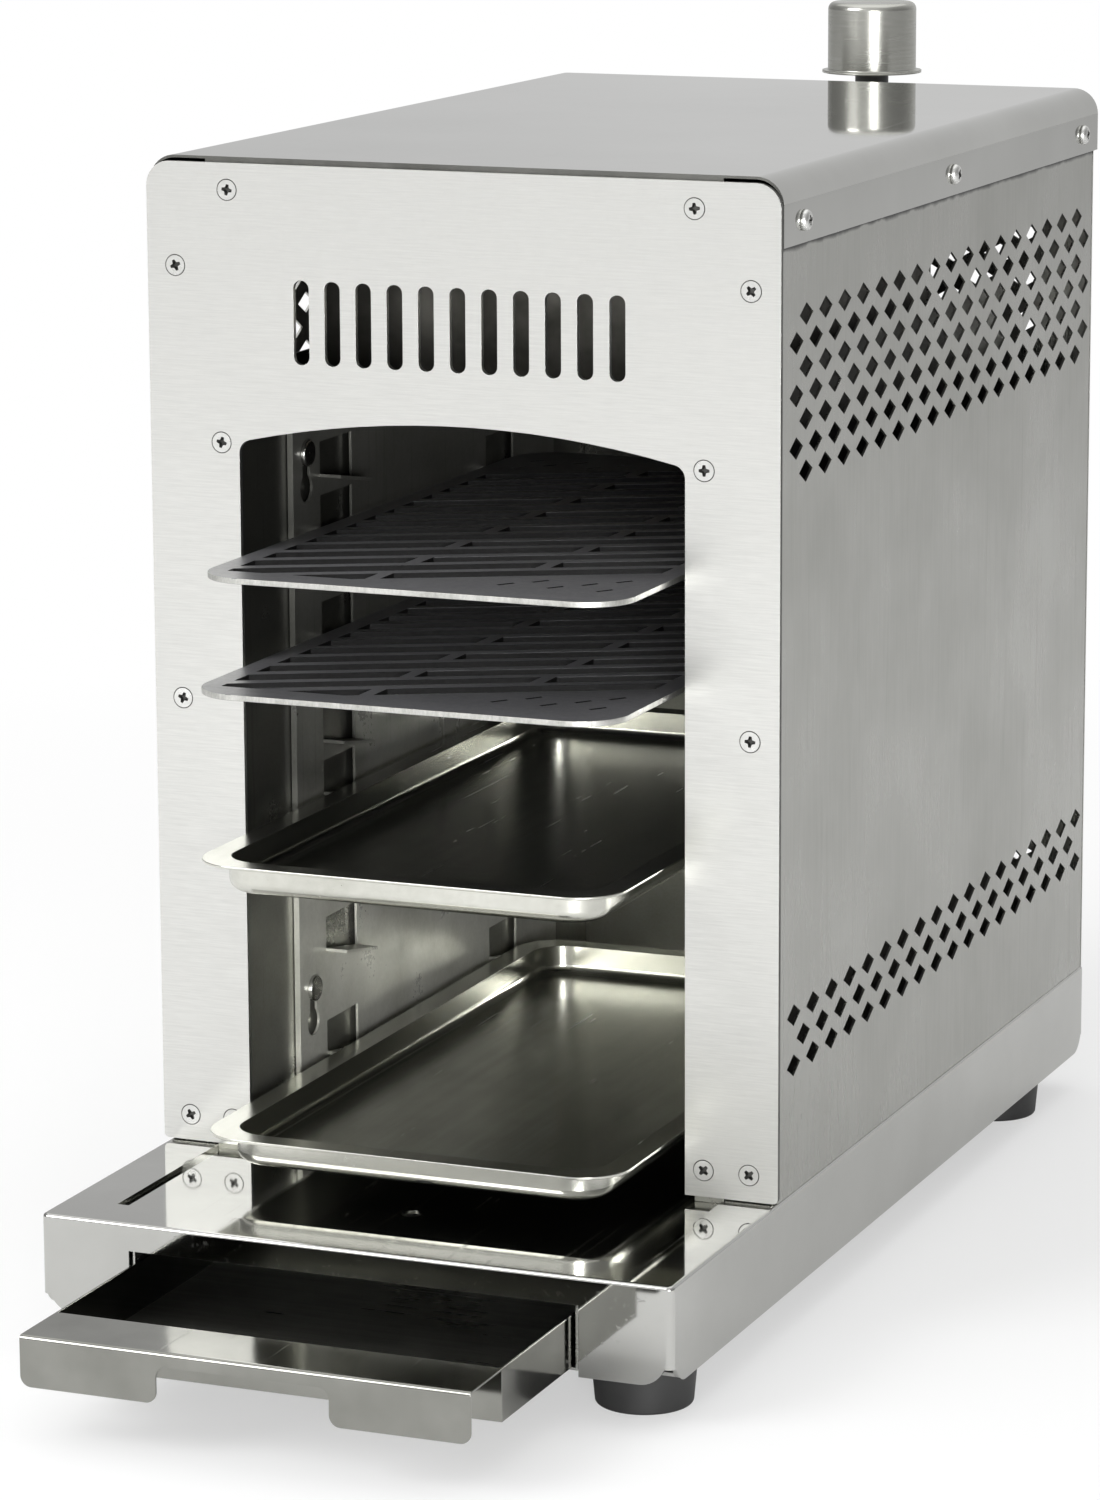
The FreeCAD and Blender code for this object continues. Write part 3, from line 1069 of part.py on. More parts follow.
# Valve bracket: an angle shelf with two side webs, screwed to the rear panel
def valve_bracket():
    body = new_body("valve_bracket")
    half, back = "bracket_width / 2", "rear_back"
    low, end = "bracket_top - bracket_rise", "valve_axis + bracket_overhang"
    grow(body, "angle", "YZ", f"-{half}", "bracket_width",
         corners((back, low), (f"{back} + bracket_sheet", low),
                 (f"{back} + bracket_sheet", "bracket_underside"), (end, "bracket_underside"),
                 (end, "bracket_top"), (back, "bracket_top", "bracket_sheet")))
    for side, x in (("left", f"-{half}"), ("right", f"{half} - bracket_sheet")):
        grow(body, f"{side}_web", "YZ", x, "bracket_sheet",
             corners((f"{back} + bracket_sheet / 2", low), (f"{end} - bracket_web_cut",
                                                            "bracket_underside"),
                     (f"{end} - bracket_web_cut", "bracket_top - bracket_sheet / 2"),
                     (f"{back} + bracket_sheet / 2", "bracket_top - bracket_sheet / 2")))
    cut(body, "neck_hole", "XY", "bracket_underside", "bracket_sheet",
        circle("0", "valve_axis", "neck_diameter + 2 * screw_clearance"))
    cut(body, "gas_holes", "XZ", back, "bracket_sheet", *gas_holes())
    cut(body, "screw_holes", "XZ", back, "bracket_sheet",
        *[circle(x, z, SCREW_HOLE) for x, z in BRACKET_SCREWS])
    return body


# Brass valve: a block with a threaded neck through the bracket, a plug, and a sprung spindle
def valve():
    block = new_body("valve_body")
    bore = "plug_diameter + 2 * turning_clearance"
    half, depth = "valve_width / 2", "valve_length / 2"
    grow(block, "block", "XY", "valve_foot", "bracket_underside - valve_foot",
         rectangle(f"-{half}", half, f"-{depth}", depth, "2"))
    grow(block, "neck", "XY", "bracket_underside", "neck_top - bracket_underside",
         circle("0", "0", "neck_diameter"))
    cut(block, "plug_bore", "XY", "valve_foot", "bore_top - valve_foot", circle("0", "0", bore))
    cut(block, "spindle_bore", "XY", "bore_top", "neck_top - bore_top",
        circle("0", "0", "spindle_diameter + 2 * turning_clearance"))
    cut(block, "outlet_bore", "XZ", f"-{depth}", f"{depth} - ({bore}) / 2 + 0.5",
        circle("0", "mixer_axis", "outlet_diameter"))
    seat(block, "0", "valve_axis")
    nut = new_body("valve_nut")
    grow(nut, "hexagon", "XY", "bracket_top", "nut_rise", regular_hexagon("0", "0", "nut_width"),
         circle("0", "0", "neck_diameter"))
    seat(nut, "0", "valve_axis")
    plug = new_body("valve_plug")
    grow(plug, "plug", "XY", "plug_foot", "plug_rise", circle("0", "0", "plug_diameter"))
    cut(plug, "socket", "XY", "plug_top - plug_socket_sink", "plug_socket_sink",
        circle("0", "0", "spindle_diameter + 2 * turning_clearance"))
    seat(plug, "0", "valve_axis")
    spindle = new_body("valve_spindle")
    grow(spindle, "rod", "XY", above("spindle_low_height"),
         "spindle_high_height - spindle_low_height", circle("0", "0", "spindle_diameter"))
    grow(spindle, "collar", "XY", "collar_top - collar_rise", "collar_rise",
         circle("0", "0", "collar_diameter"))
    seat(spindle, "0", "valve_axis")
    spring = new_body("valve_spring")
    foot = "plug_top + slide_clearance / 2"
    grow(spring, "coil", "XY", foot,
         f"collar_top - collar_rise - slide_clearance / 2 - ({foot})",
         circle("0", "0", "spring_outer_diameter"), circle("0", "0", "spring_inner_diameter"))
    seat(spring, "0", "valve_axis")
    return [block, nut, plug, spindle, spring]


# Gas line: the inlet fitting under the valve, and the pipe and jet in front of it
def gas_line():
    inlet = new_body("gas_inlet")
    bore, hex_foot = "inlet_bore_diameter / 2", "valve_foot - inlet_hex_rise"
    grow(inlet, "hexagon", "XY", hex_foot, "inlet_hex_rise",
         regular_hexagon("0", "0", "inlet_hex_width"))
    grow(inlet, "spigot", "XY", "valve_foot", "plug_foot - slide_clearance - valve_foot",
         circle("0", "0", "plug_diameter"))
    grow(inlet, "thread", "XY", f"{hex_foot} - inlet_thread_length", "inlet_thread_length",
         circle("0", "0", "inlet_thread_diameter"))
    cut(inlet, "bore", "XY", f"{hex_foot} - inlet_thread_length",
        f"plug_foot - slide_clearance - ({hex_foot} - inlet_thread_length)",
        circle("0", "0", f"2 * {bore}"))
    seat(inlet, "0", "valve_axis")
    pipe = new_body("gas_pipe")
    start = "valve_axis - valve_length / 2 - outlet_length"
    grow(pipe, "tube", "XZ", start, "outlet_length + valve_length / 6",
         circle("0", "mixer_axis", "outlet_diameter"),
         circle("0", "mixer_axis", "outlet_diameter / 2"))
    jet = new_body("gas_jet")
    grow(jet, "body", "XZ", f"{start} - jet_length", "jet_length",
         regular_hexagon("0", "mixer_axis", "jet_width"))
    grow(jet, "nose", "XZ", f"{start} - jet_length - jet_nose_length", "jet_nose_length",
         circle("0", "mixer_axis", "jet_nose_diameter"))
    cut(jet, "bore", "XZ", f"{start} - jet_length - jet_nose_length",
        "jet_length + jet_nose_length", circle("0", "mixer_axis", "jet_nose_diameter / 3"))
    return [inlet, pipe, jet]


# Knob: a drawn steel cup over a hub on the spindle
def knob():
    hub = new_body("knob_hub")
    low, top = above("hub_low_height"), f"{above('knob_high_height')} - knob_sheet"
    grow(hub, "post", "XY", low, f"{top} - ({low})", circle("0", "0", "hub_diameter"))
    cut(hub, "bore", "XY", low, f"{above('spindle_high_height')} - ({low})",
        circle("0", "0", "spindle_diameter"))
    seat(hub, "0", "valve_axis")
    cap = new_body("knob_cap")
    outer, flange = "knob_diameter / 2", "knob_flange_diameter / 2"
    rim, crown = above("knob_low_height"), above("knob_high_height")
    turn(cap, "cup", "Revolution", ("0", crown), (outer, crown, "knob_edge_radius"),
         (outer, f"{rim} + knob_sheet"), (flange, f"{rim} + knob_sheet"), (flange, rim),
         (f"{outer} - knob_sheet", rim),
         (f"{outer} - knob_sheet", f"{crown} - knob_sheet", "knob_edge_radius - knob_sheet"),
         ("0", f"{crown} - knob_sheet"))
    seat(cap, "0", "valve_axis")
    return [hub, cap]


nodes = [
    base_shell(), *foot_rails(), *feet(), *drawer_runners(), grease_drawer(), front_panel(),
    *side_panels(), rear_panel(), top_cover(), heat_shield(), *chamber_liners(),
    chamber_rear_wall(), chamber_ceiling(), *racks(), rack_studs(),
    grate("grate_upper", "grate_high_pulled_out", "grate_level_high"),
    grate("grate_lower", "grate_low_pulled_out", "grate_level_low"),
    tray("tray_upper", "tray_high_pulled_out", "tray_level_high"),
    tray("tray_lower", "tray_low_pulled_out", "tray_level_low"),
    *burner(), mixing_tube(), *probes(), lead("thermocouple_lead", "probe_offset"),
    lead("ignition_lead", "-probe_offset"), valve_bracket(), *valve(), *gas_line(), *knob(),
    *fasteners(),
]
doc.recompute()

for item in doc.Objects:
    if "Invalid" in item.State or "Error" in item.State:
        raise RuntimeError(f"{item.Label} failed: {item.State}")
    if item.TypeId in ("PartDesign::Pocket", "PartDesign::Groove"):
        if item.Shape.Volume > item.BaseFeature.Shape.Volume - 1e-3:
            raise RuntimeError(f"{item.Label} cuts nothing")
for node in nodes:
    if node.Shape.isNull() or not node.Shape.isValid() or node.Shape.Volume <= 0:
        raise RuntimeError(f"{node.Label} has no sound shape")

os.makedirs("parts", exist_ok=True)
for node in nodes:
    node.Shape.exportStep(f"parts/{node.Label}.step")
print(len(nodes), "nodes written")
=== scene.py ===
import json
import math

import bmesh
import bpy
from mathutils import Matrix, Vector


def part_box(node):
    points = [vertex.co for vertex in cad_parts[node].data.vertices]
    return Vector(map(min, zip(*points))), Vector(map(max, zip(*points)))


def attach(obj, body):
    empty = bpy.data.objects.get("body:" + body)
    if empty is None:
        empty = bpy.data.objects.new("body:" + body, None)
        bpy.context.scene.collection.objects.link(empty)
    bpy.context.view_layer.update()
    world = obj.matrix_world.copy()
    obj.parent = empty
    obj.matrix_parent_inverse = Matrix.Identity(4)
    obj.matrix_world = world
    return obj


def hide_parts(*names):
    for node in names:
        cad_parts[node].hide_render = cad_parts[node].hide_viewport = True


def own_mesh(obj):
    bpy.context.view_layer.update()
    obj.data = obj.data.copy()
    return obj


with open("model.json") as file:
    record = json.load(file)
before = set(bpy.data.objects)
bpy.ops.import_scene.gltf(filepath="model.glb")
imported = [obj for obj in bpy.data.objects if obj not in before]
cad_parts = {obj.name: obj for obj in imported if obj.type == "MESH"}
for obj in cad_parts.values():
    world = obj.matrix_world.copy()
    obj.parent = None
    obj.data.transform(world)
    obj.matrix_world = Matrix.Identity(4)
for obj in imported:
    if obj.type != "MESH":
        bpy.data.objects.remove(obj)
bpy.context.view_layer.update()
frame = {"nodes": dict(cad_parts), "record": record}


# Base: one stainless sheet with four flanges folded down and a shallow pressed recess. It is
# polished, so it mirrors the housing, with faint waves, wipe marks and hairline scratches.

def place(tree, kind, settings=None, **values):
    """Add a node to a tree: settings are its options, and values its sockets by name or number."""
    node = tree.nodes.new(kind)
    for option, choice in (settings or {}).items():
        setattr(node, option, choice)
    for socket, number in values.items():
        key = int(socket[1:]) if socket[1:].isdigit() else socket.replace("_", " ")
        if isinstance(number, bpy.types.NodeSocket):
            tree.links.new(number, node.inputs[key])
        else:
            node.inputs[key].default_value = number
    return node


def new_group(name, takes, gives):
    """A shader group with named inputs, each with its default value, and named outputs."""
    tree = bpy.data.node_groups.new(name, "ShaderNodeTree")
    for label, kind, default in takes:
        tree.interface.new_socket(label, in_out="INPUT",
                                  socket_type=f"NodeSocket{kind}").default_value = default
    for label, kind in gives:
        tree.interface.new_socket(label, in_out="OUTPUT", socket_type=f"NodeSocket{kind}")
    return tree, tree.nodes.new("NodeGroupInput").outputs, tree.nodes.new("NodeGroupOutput")


def worn_metal_group():
    """Masks of a worked metal face: grain along one way, cloudy patches and hairline scratches."""
    tree, given, result = new_group(
        "worn_metal",
        (("Position", "Vector", (0, 0, 0)), ("Grain Scale", "Vector", (1, 1, 1)),
         ("Cloud Scale", "Float", 12), ("Scratch Scale", "Vector", (6, 500, 500)),
         ("Scratch Start", "Float", 0.64)),
        (("Grain", "Float"), ("Clouds", "Float"), ("Scratches", "Float")))
    stretched = place(tree, "ShaderNodeVectorMath", {"operation": "MULTIPLY"},
                      _0=given["Position"], _1=given["Grain Scale"])
    grain = place(tree, "ShaderNodeTexNoise", Vector=stretched.outputs[0], Scale=1, Detail=4,
                  Roughness=0.7)
    clouds = place(tree, "ShaderNodeTexNoise", Vector=given["Position"],
                   Scale=given["Cloud Scale"], Detail=4, Roughness=0.55)
    bent = place(tree, "ShaderNodeVectorMath", {"operation": "MULTIPLY_ADD"},
                 _0=clouds.outputs["Color"], _1=(0.004, 0.004, 0.004), _2=given["Position"])
    drawn_out = place(tree, "ShaderNodeVectorMath", {"operation": "MULTIPLY"},
                      _0=bent.outputs[0], _1=given["Scratch Scale"])
    lines = place(tree, "ShaderNodeTexNoise", Vector=drawn_out.outputs[0], Scale=1, Detail=1)
    past = place(tree, "ShaderNodeMath", {"operation": "SUBTRACT"}, _0=lines.outputs["Fac"],
                 _1=given["Scratch Start"])
    hairline = place(tree, "ShaderNodeMapRange", Value=past.outputs[0], From_Max=0.05)
    for label, socket in (("Grain", grain.outputs["Fac"]), ("Clouds", clouds.outputs["Fac"]),
                          ("Scratches", hairline.outputs[0])):
        tree.links.new(socket, result.inputs[label])
    return tree


WORN_METAL = worn_metal_group()


def metal(name, pale, dull, smooth, rough, grain=(40, 40, 40), grain_depth=0.0, clouds=12,
          cloud_share=0.6, scratches=(6, 500, 500), scratch_start=0.66, scratch_gain=0.08,
          wave_depth=0.0, metallic=1.0, specular=0.5):
    """A metal finish: tones and roughness run between two ends with the cloud and grain masks."""
    material = bpy.data.materials.new(name)
    material.use_nodes = True
    tree = material.node_tree
    shader = tree.nodes["Principled BSDF"]
    shader.inputs["Metallic"].default_value = metallic
    shader.inputs["Specular IOR Level"].default_value = specular
    where = place(tree, "ShaderNodeTexCoord")
    worn = place(tree, "ShaderNodeGroup", {"node_tree": WORN_METAL},
                 Position=where.outputs["Object"], Grain_Scale=grain, Cloud_Scale=clouds,
                 Scratch_Scale=scratches, Scratch_Start=scratch_start)
    mixed = place(tree, "ShaderNodeMix", _0=cloud_share, _2=worn.outputs["Grain"],
                  _3=worn.outputs["Clouds"])
    tone = place(tree, "ShaderNodeMapRange", Value=mixed.outputs[0], From_Min=0.35, From_Max=0.65)
    colour = place(tree, "ShaderNodeMix", {"data_type": "RGBA"}, _0=tone.outputs[0],
                   _6=(*dull, 1), _7=(*pale, 1))
    tree.links.new(colour.outputs[2], shader.inputs["Base Color"])
    gloss = place(tree, "ShaderNodeMapRange", Value=tone.outputs[0], To_Min=rough, To_Max=smooth)
    scuffed = place(tree, "ShaderNodeMath", {"operation": "MULTIPLY_ADD"},
                    _0=worn.outputs["Scratches"], _1=scratch_gain, _2=gloss.outputs[0])
    tree.links.new(scuffed.outputs[0], shader.inputs["Roughness"])
    normal = None
    for mask, depth in (("Grain", grain_depth), ("Clouds", wave_depth)):
        if depth:
            bump = place(tree, "ShaderNodeBump", Distance=depth, Height=worn.outputs[mask])
            if normal:
                tree.links.new(normal, bump.inputs["Normal"])
            normal = bump.outputs[0]
    if normal:
        tree.links.new(normal, shader.inputs["Normal"])
    return material


BODY_OF = {node: body for body, members in frame["record"]["behaviour"]["bodies"].items()
           for node in members}


def stand_for(piece, node):
    """Let a piece ride with the body of the node that it stands for."""
    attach(piece, BODY_OF[node])
    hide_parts(node)


SAME_POINT = 2e-6
FLAT = math.radians(0.4)
EVEN_WEIGHT = 80


def finished(node, material, edge=0.0002, cuts=2, sharp=28, marked=(), mend=None):
    """A merged copy of a solid with fine rounded edges and even shading, standing for the solid.
    marked holds further materials, each with a test that picks its faces by middle and normal,
    and mend adds to the form what the sheet needs."""
    mesh = frame["nodes"][node].data.copy()
    form = bmesh.new()
    form.from_mesh(mesh)
    bmesh.ops.remove_doubles(form, verts=form.verts, dist=SAME_POINT)
    bmesh.ops.dissolve_limit(form, angle_limit=FLAT, verts=form.verts, edges=form.edges)
    if mend:
        mend(form)
    form.normal_update()
    for side in form.faces:
        side.smooth = True
        side.material_index = next((index + 1 for index, (_, test) in enumerate(marked)
                                    if test(side.calc_center_median(), side.normal)), 0)
    mesh.materials.clear()
    form.to_mesh(mesh)
    form.free()
    for finish in (material, *(other for other, _ in marked)):
        mesh.materials.append(finish)
    piece = bpy.data.objects.new(f"finished_{node}", mesh)
    bpy.context.scene.collection.objects.link(piece)
    bevel = piece.modifiers.new("rounded_edge", "BEVEL")
    bevel.width = edge
    bevel.segments = cuts
    bevel.limit_method = "ANGLE"
    bevel.angle_limit = math.radians(sharp)
    even = piece.modifiers.new("even_shading", "WEIGHTED_NORMAL")
    even.weight = EVEN_WEIGHT
    stand_for(piece, node)
    return piece


polished = metal("polished_steel", (0.55, 0.55, 0.53), (0.47, 0.47, 0.45), 0.04, 0.08,
                 clouds=9, cloud_share=0.8, scratches=(500, 7, 500), scratch_gain=0.10,
                 wave_depth=0.00002)


def close_corners(form):
    """The welded and ground walls round the four corners, from the flanges' ends to the top."""
    low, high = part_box("base_shell")
    turn, sheet, ground_off = 0.0025, 0.0015, 0.00002
    tuck, steps = 0.0006, 6
    left_open, rim_sheet = 0.0062, 0.00145
    outer, inner = turn - ground_off, turn - sheet + ground_off
    bottom, top = low.z + left_open, high.z - rim_sheet
    for x, out_x in ((low.x + turn, -1), (high.x - turn, 1)):
        for y, out_y in ((low.y + turn, -1), (high.y - turn, 1)):
            columns = []
            for step in range(-1, steps + 2):
                angle = math.radians(90) * min(max(step, 0), steps) / steps
                back_x, back_y = tuck * (step < 0), tuck * (step > steps)
                columns.append([form.verts.new((
                    x + out_x * (radius * math.sin(angle) - back_x),
                    y + out_y * (radius * math.cos(angle) - back_y), z))
                    for radius, z in ((outer, bottom), (outer, top), (inner, top),
                                      (inner, bottom))])
            walls = [form.faces.new((near[side - 1], near[side], far[side], far[side - 1]))
                     for near, far in zip(columns, columns[1:]) for side in range(4)]
            walls += [form.faces.new(columns[0]), form.faces.new(columns[-1])]
            bmesh.ops.recalc_face_normals(form, faces=walls)


finished("base_shell", polished, edge=0.0003, mend=close_corners)


# Rails inside the base's sides, which the feet and the housing are screwed to, and the runners
# that the drawer slides on: thin galvanised and plain sheet, welded under the shell.

galvanised = metal("galvanised_steel", (0.52, 0.52, 0.50), (0.36, 0.36, 0.35), 0.30, 0.46,
                   grain=(45, 45, 45), grain_depth=0.00001, clouds=60, cloud_share=0.7,
                   scratch_gain=0.0)
satin = metal("satin_steel", (0.55, 0.55, 0.52), (0.45, 0.45, 0.43), 0.20, 0.30,
              grain=(30, 400, 400), grain_depth=0.000002, clouds=20)
for side in ("left", "right"):
    finished(f"foot_rail_{side}", galvanised)
    finished(f"drawer_runner_{side}", satin)


# Feet: four pads of moulded black rubber, tapered towards the floor. Each is held under a rail
# by one screw, whose head sits in a well so that it doesn't reach the table.

def moulded(name, colour, roughness, pores, pore_depth):
    """Rubber, ceramic or plastic with a fine pore and an uneven sheen."""
    material = bpy.data.materials.new(name)
    material.use_nodes = True
    tree = material.node_tree
    shader = tree.nodes["Principled BSDF"]
    where = place(tree, "ShaderNodeTexCoord")
    fine = place(tree, "ShaderNodeTexNoise", Vector=where.outputs["Object"], Scale=pores,
                 Detail=5)
    broad = place(tree, "ShaderNodeTexNoise", Vector=where.outputs["Object"], Scale=pores / 12,
                  Detail=3)
    dark, light = ([part * gain for part in colour] for gain in (0.65, 1.35))
    tint = place(tree, "ShaderNodeMix", {"data_type": "RGBA"}, _0=broad.outputs["Fac"],
                 _6=(*dark, 1), _7=(*light, 1))
    tree.links.new(tint.outputs[2], shader.inputs["Base Color"])
    sheen = place(tree, "ShaderNodeMapRange", Value=broad.outputs["Fac"],
                  To_Min=roughness - 0.1, To_Max=roughness + 0.1)
    tree.links.new(sheen.outputs[0], shader.inputs["Roughness"])
    bump = place(tree, "ShaderNodeBump", Distance=pore_depth, Height=fine.outputs["Fac"])
    tree.links.new(bump.outputs[0], shader.inputs["Normal"])
    return material


def rounded(profile, radii, steps=6):
    """A closed (radius, height) profile whose corners with a radius turn in short steps."""
    points = []
    for index, corner in enumerate(profile):
        here, size = Vector(corner), radii.get(index, 0)
        if not size:
            points.append(here)
            continue
        back = (Vector(profile[index - 1]) - here).normalized()
        on = (Vector(profile[(index + 1) % len(profile)]) - here).normalized()
        half = back.angle(on) / 2
        middle = here + (back + on).normalized() * size / math.sin(half)
        first = here + back * size / math.tan(half) - middle
        last = here + on * size / math.tan(half) - middle
        sweep = first.angle(last)
        for step in range(steps + 1):
            share = sweep * step / steps
            points.append(middle + (first * math.sin(sweep - share) + last * math.sin(share))
                          / math.sin(sweep))
    return points


def lathed(name, profile, centre, material, segments=96):
    """A piece turned about an upright axis from a closed profile; points on the axis are shared."""
    form = bmesh.new()
    rings = []
    for radius, height in profile:
        if radius < 1e-7:
            rings.append([form.verts.new((*centre, height))] * segments)
            continue
        rings.append([form.verts.new((centre[0] + radius * math.cos(turn * math.tau / segments),
                                      centre[1] + radius * math.sin(turn * math.tau / segments),
                                      height)) for turn in range(segments)])
    for near, far in zip(rings, rings[1:] + rings[:1]):
        for turn in range(segments):
            after = (turn + 1) % segments
            corners = list(dict.fromkeys((near[turn], near[after], far[after], far[turn])))
            if len(corners) > 2:
                form.faces.new(corners).smooth = True
    bmesh.ops.recalc_face_normals(form, faces=form.faces)
    mesh = bpy.data.meshes.new(name)
    form.to_mesh(mesh)
    form.free()
    mesh.materials.append(material)
    piece = bpy.data.objects.new(name, mesh)
    bpy.context.scene.collection.objects.link(piece)
    even = piece.modifiers.new("even_shading", "WEIGHTED_NORMAL")
    even.weight = EVEN_WEIGHT
    return piece


rubber = moulded("black_rubber", (0.022, 0.022, 0.022), 0.5, 900, 0.00003)
foot_height, top_radius, floor_radius, soft_edge = 0.016, 0.0185, 0.017, 0.0012
screw_hole, well_radius, well_depth = 0.0021, 0.0055, 0.008
foot_profile = rounded(
    [(screw_hole, foot_height), (screw_hole, well_depth), (well_radius, well_depth),
     (well_radius, 0.0), (floor_radius, 0.0), (top_radius, foot_height)],
    {4: soft_edge, 5: soft_edge})
foot_out, foot_along = 0.097, 0.196
for end, y in (("front", -foot_along), ("rear", foot_along)):
    for side, x in (("left", -foot_out), ("right", foot_out)):
        foot = lathed(f"pad_{end}_{side}", foot_profile, (x, y), rubber)
        stand_for(foot, f"foot_{end}_{side}")


# Grease drawer: one thin polished sheet folded into a pan, whose front runs on as the handle
# with a notch for the fingers. It is a shade darker than the base, and its floor is dull.

drawer_steel = metal("drawer_steel", (0.33, 0.33, 0.305), (0.22, 0.22, 0.20), 0.07, 0.14,
                     clouds=16, cloud_share=0.85, scratches=(300, 6, 300), scratch_gain=0.07,
                     wave_depth=0.00003)
drawer_floor = metal("drawer_floor", (0.34, 0.34, 0.31), (0.20, 0.20, 0.18), 0.24, 0.42,
                     grain=(9, 300, 300), grain_depth=0.000002, clouds=20, cloud_share=0.6)
pan_rim, pan_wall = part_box("grease_drawer")[1].z, 0.008
finished("grease_drawer", drawer_steel, marked=(
    (drawer_floor, lambda spot, normal: normal.z > 0.9 and spot.z < pan_rim - pan_wall),))


# Front panel: 2 mm stainless plate, laser cut with slots and an arched opening, and brushed
# across with a fine belt. Its countersinks and its side edges get a dark painted shade, for the
# shadowed gaps round the screw heads and beside the side panels.

brushed = metal("brushed_front", (0.68, 0.68, 0.655), (0.58, 0.58, 0.56), 0.28, 0.38,
                grain=(60, 1500, 1500), grain_depth=0.000005, clouds=9, cloud_share=0.3,
                scratch_gain=0.0)
# painted shade: a dark material for shadowed gaps, round flush screws, beside the side panels and
# in the cover's front fold
painted_gap_shade = metal("painted_gap_shade", (0.16, 0.16, 0.15), (0.08, 0.08, 0.075), 0.4, 0.6)
plate_side = 0.108


def in_painted_gap_shade(spot, normal):
    """The faces painted with shade: the countersinks' cones and the plate's outer side edges."""
    return 0.5 < -normal.y < 0.9 or (abs(normal.x) > 0.3 and abs(spot.x) > plate_side)


finished("front_panel", brushed, marked=((painted_gap_shade, in_painted_gap_shade),))


# Side and rear panels: 1 mm sheet with a mill finish, folded at its edges and punched with two
# bands of diamond vents, screwed to the base and to the front panel. A thin line under the
# cover's hem is painted dark as painted shade, for the shadow under the hem.

def shade_line_group():
    """A mask of painted shade in a thin line at a height, wandering a little: the shadow under a
    hem.
    """
    tree, given, result = new_group(
        "painted_shade_line", (("Position", "Vector", (0, 0, 0)), ("Height", "Float", 0.4),
                      ("Width", "Float", 0.001)), (("Shade", "Float"),))
    parts = place(tree, "ShaderNodeSeparateXYZ", Vector=given["Position"])
    above = place(tree, "ShaderNodeMath", {"operation": "SUBTRACT"}, _0=parts.outputs[2],
                  _1=given["Height"])
    apart = place(tree, "ShaderNodeMath", {"operation": "ABSOLUTE"}, _0=above.outputs[0])
    drift = place(tree, "ShaderNodeTexNoise", Vector=given["Position"], Scale=90, Detail=3)
    reach = place(tree, "ShaderNodeMath", {"operation": "MULTIPLY"}, _0=drift.outputs["Fac"],
                  _1=given["Width"])
    near = place(tree, "ShaderNodeMath", {"operation": "DIVIDE"}, _0=apart.outputs[0],
                 _1=reach.outputs[0])
    shade_mask = place(tree, "ShaderNodeMapRange", Value=near.outputs[0], From_Min=1, From_Max=3,
                 To_Min=1, To_Max=0)
    tree.links.new(shade_mask.outputs[0], result.inputs["Shade"])
    return tree


def painted_darker(material, group, height, width, left):
    """Darken a metal by a group's painted shade mask, to the share of its tone that is left."""
    tree = material.node_tree
    shader = tree.nodes["Principled BSDF"]
    tone = shader.inputs["Base Color"].links[0].from_socket
    where = place(tree, "ShaderNodeTexCoord")
    shade_mask = place(tree, "ShaderNodeGroup", {"node_tree": group},
                 Position=where.outputs["Object"], Height=height, Width=width)
    dimmed = place(tree, "ShaderNodeMix", {"data_type": "RGBA", "blend_type": "MULTIPLY"},
                   _0=shade_mask.outputs["Shade"], _6=tone, _7=(left, left, left, 1))
    tree.links.new(dimmed.outputs[2], shader.inputs["Base Color"])


SHADE_LINE = shade_line_group()
# painted shade: the panels' tone is set darker than the front plate's, for the sides and rear that
# face away from the key lamp; the grain and clouds are the sheet's own mill finish
mill_and_shade = metal("mill_finish_and_shade", (0.435, 0.435, 0.41), (0.375, 0.375, 0.35), 0.24, 0.34,
             grain=(700, 700, 30), grain_depth=0.000002, clouds=14, cloud_share=0.7,
             scratches=(400, 400, 8), scratch_gain=0.06)
cover_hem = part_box("top_cover")[0].z
# painted shade: a dark line on the panels just under the cover's hem
painted_darker(mill_and_shade, SHADE_LINE, height=cover_hem, width=0.0013, left=0.06)
for side in ("left", "right"):
    finished(f"side_panel_{side}", mill_and_shade, edge=0.00015, cuts=1)
finished("rear_panel", mill_and_shade, edge=0.00015, cuts=1)


# Top cover: a hood of polished stainless sheet, folded down over the side panels and screwed to
# them, with painted shade in the fold behind the front panel. A plain heat shield under it has
# taken soot.

cover_steel = metal("cover_steel", (0.53, 0.53, 0.51), (0.45, 0.45, 0.43), 0.01, 0.05,
                    clouds=7, cloud_share=0.85, scratches=(500, 5, 500), scratch_gain=0.05,
                    wave_depth=0.00002)
panel_back, front_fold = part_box("front_panel")[1].y, 0.0032
# painted shade: the faces of the front fold get the dark gap material, for the shadow behind the
# front panel
finished("top_cover", cover_steel, marked=(
    (painted_gap_shade, lambda spot, normal: spot.y < panel_back + front_fold),))
sooted = metal("sooted_steel", (0.15, 0.145, 0.13), (0.07, 0.068, 0.06), 0.35, 0.55,
               grain=(60, 60, 60), clouds=30, cloud_share=0.8, scratch_gain=0.0)
finished("heat_shield", sooted)


# Chamber: walls, ceiling, burner frame and the punched racks, all of stainless sheet. The racks
# hang on studs. The sheet has a warm heat tint, and the walls and racks are painted darker
# towards the top as painted shade, where the trays and grates shadow them.

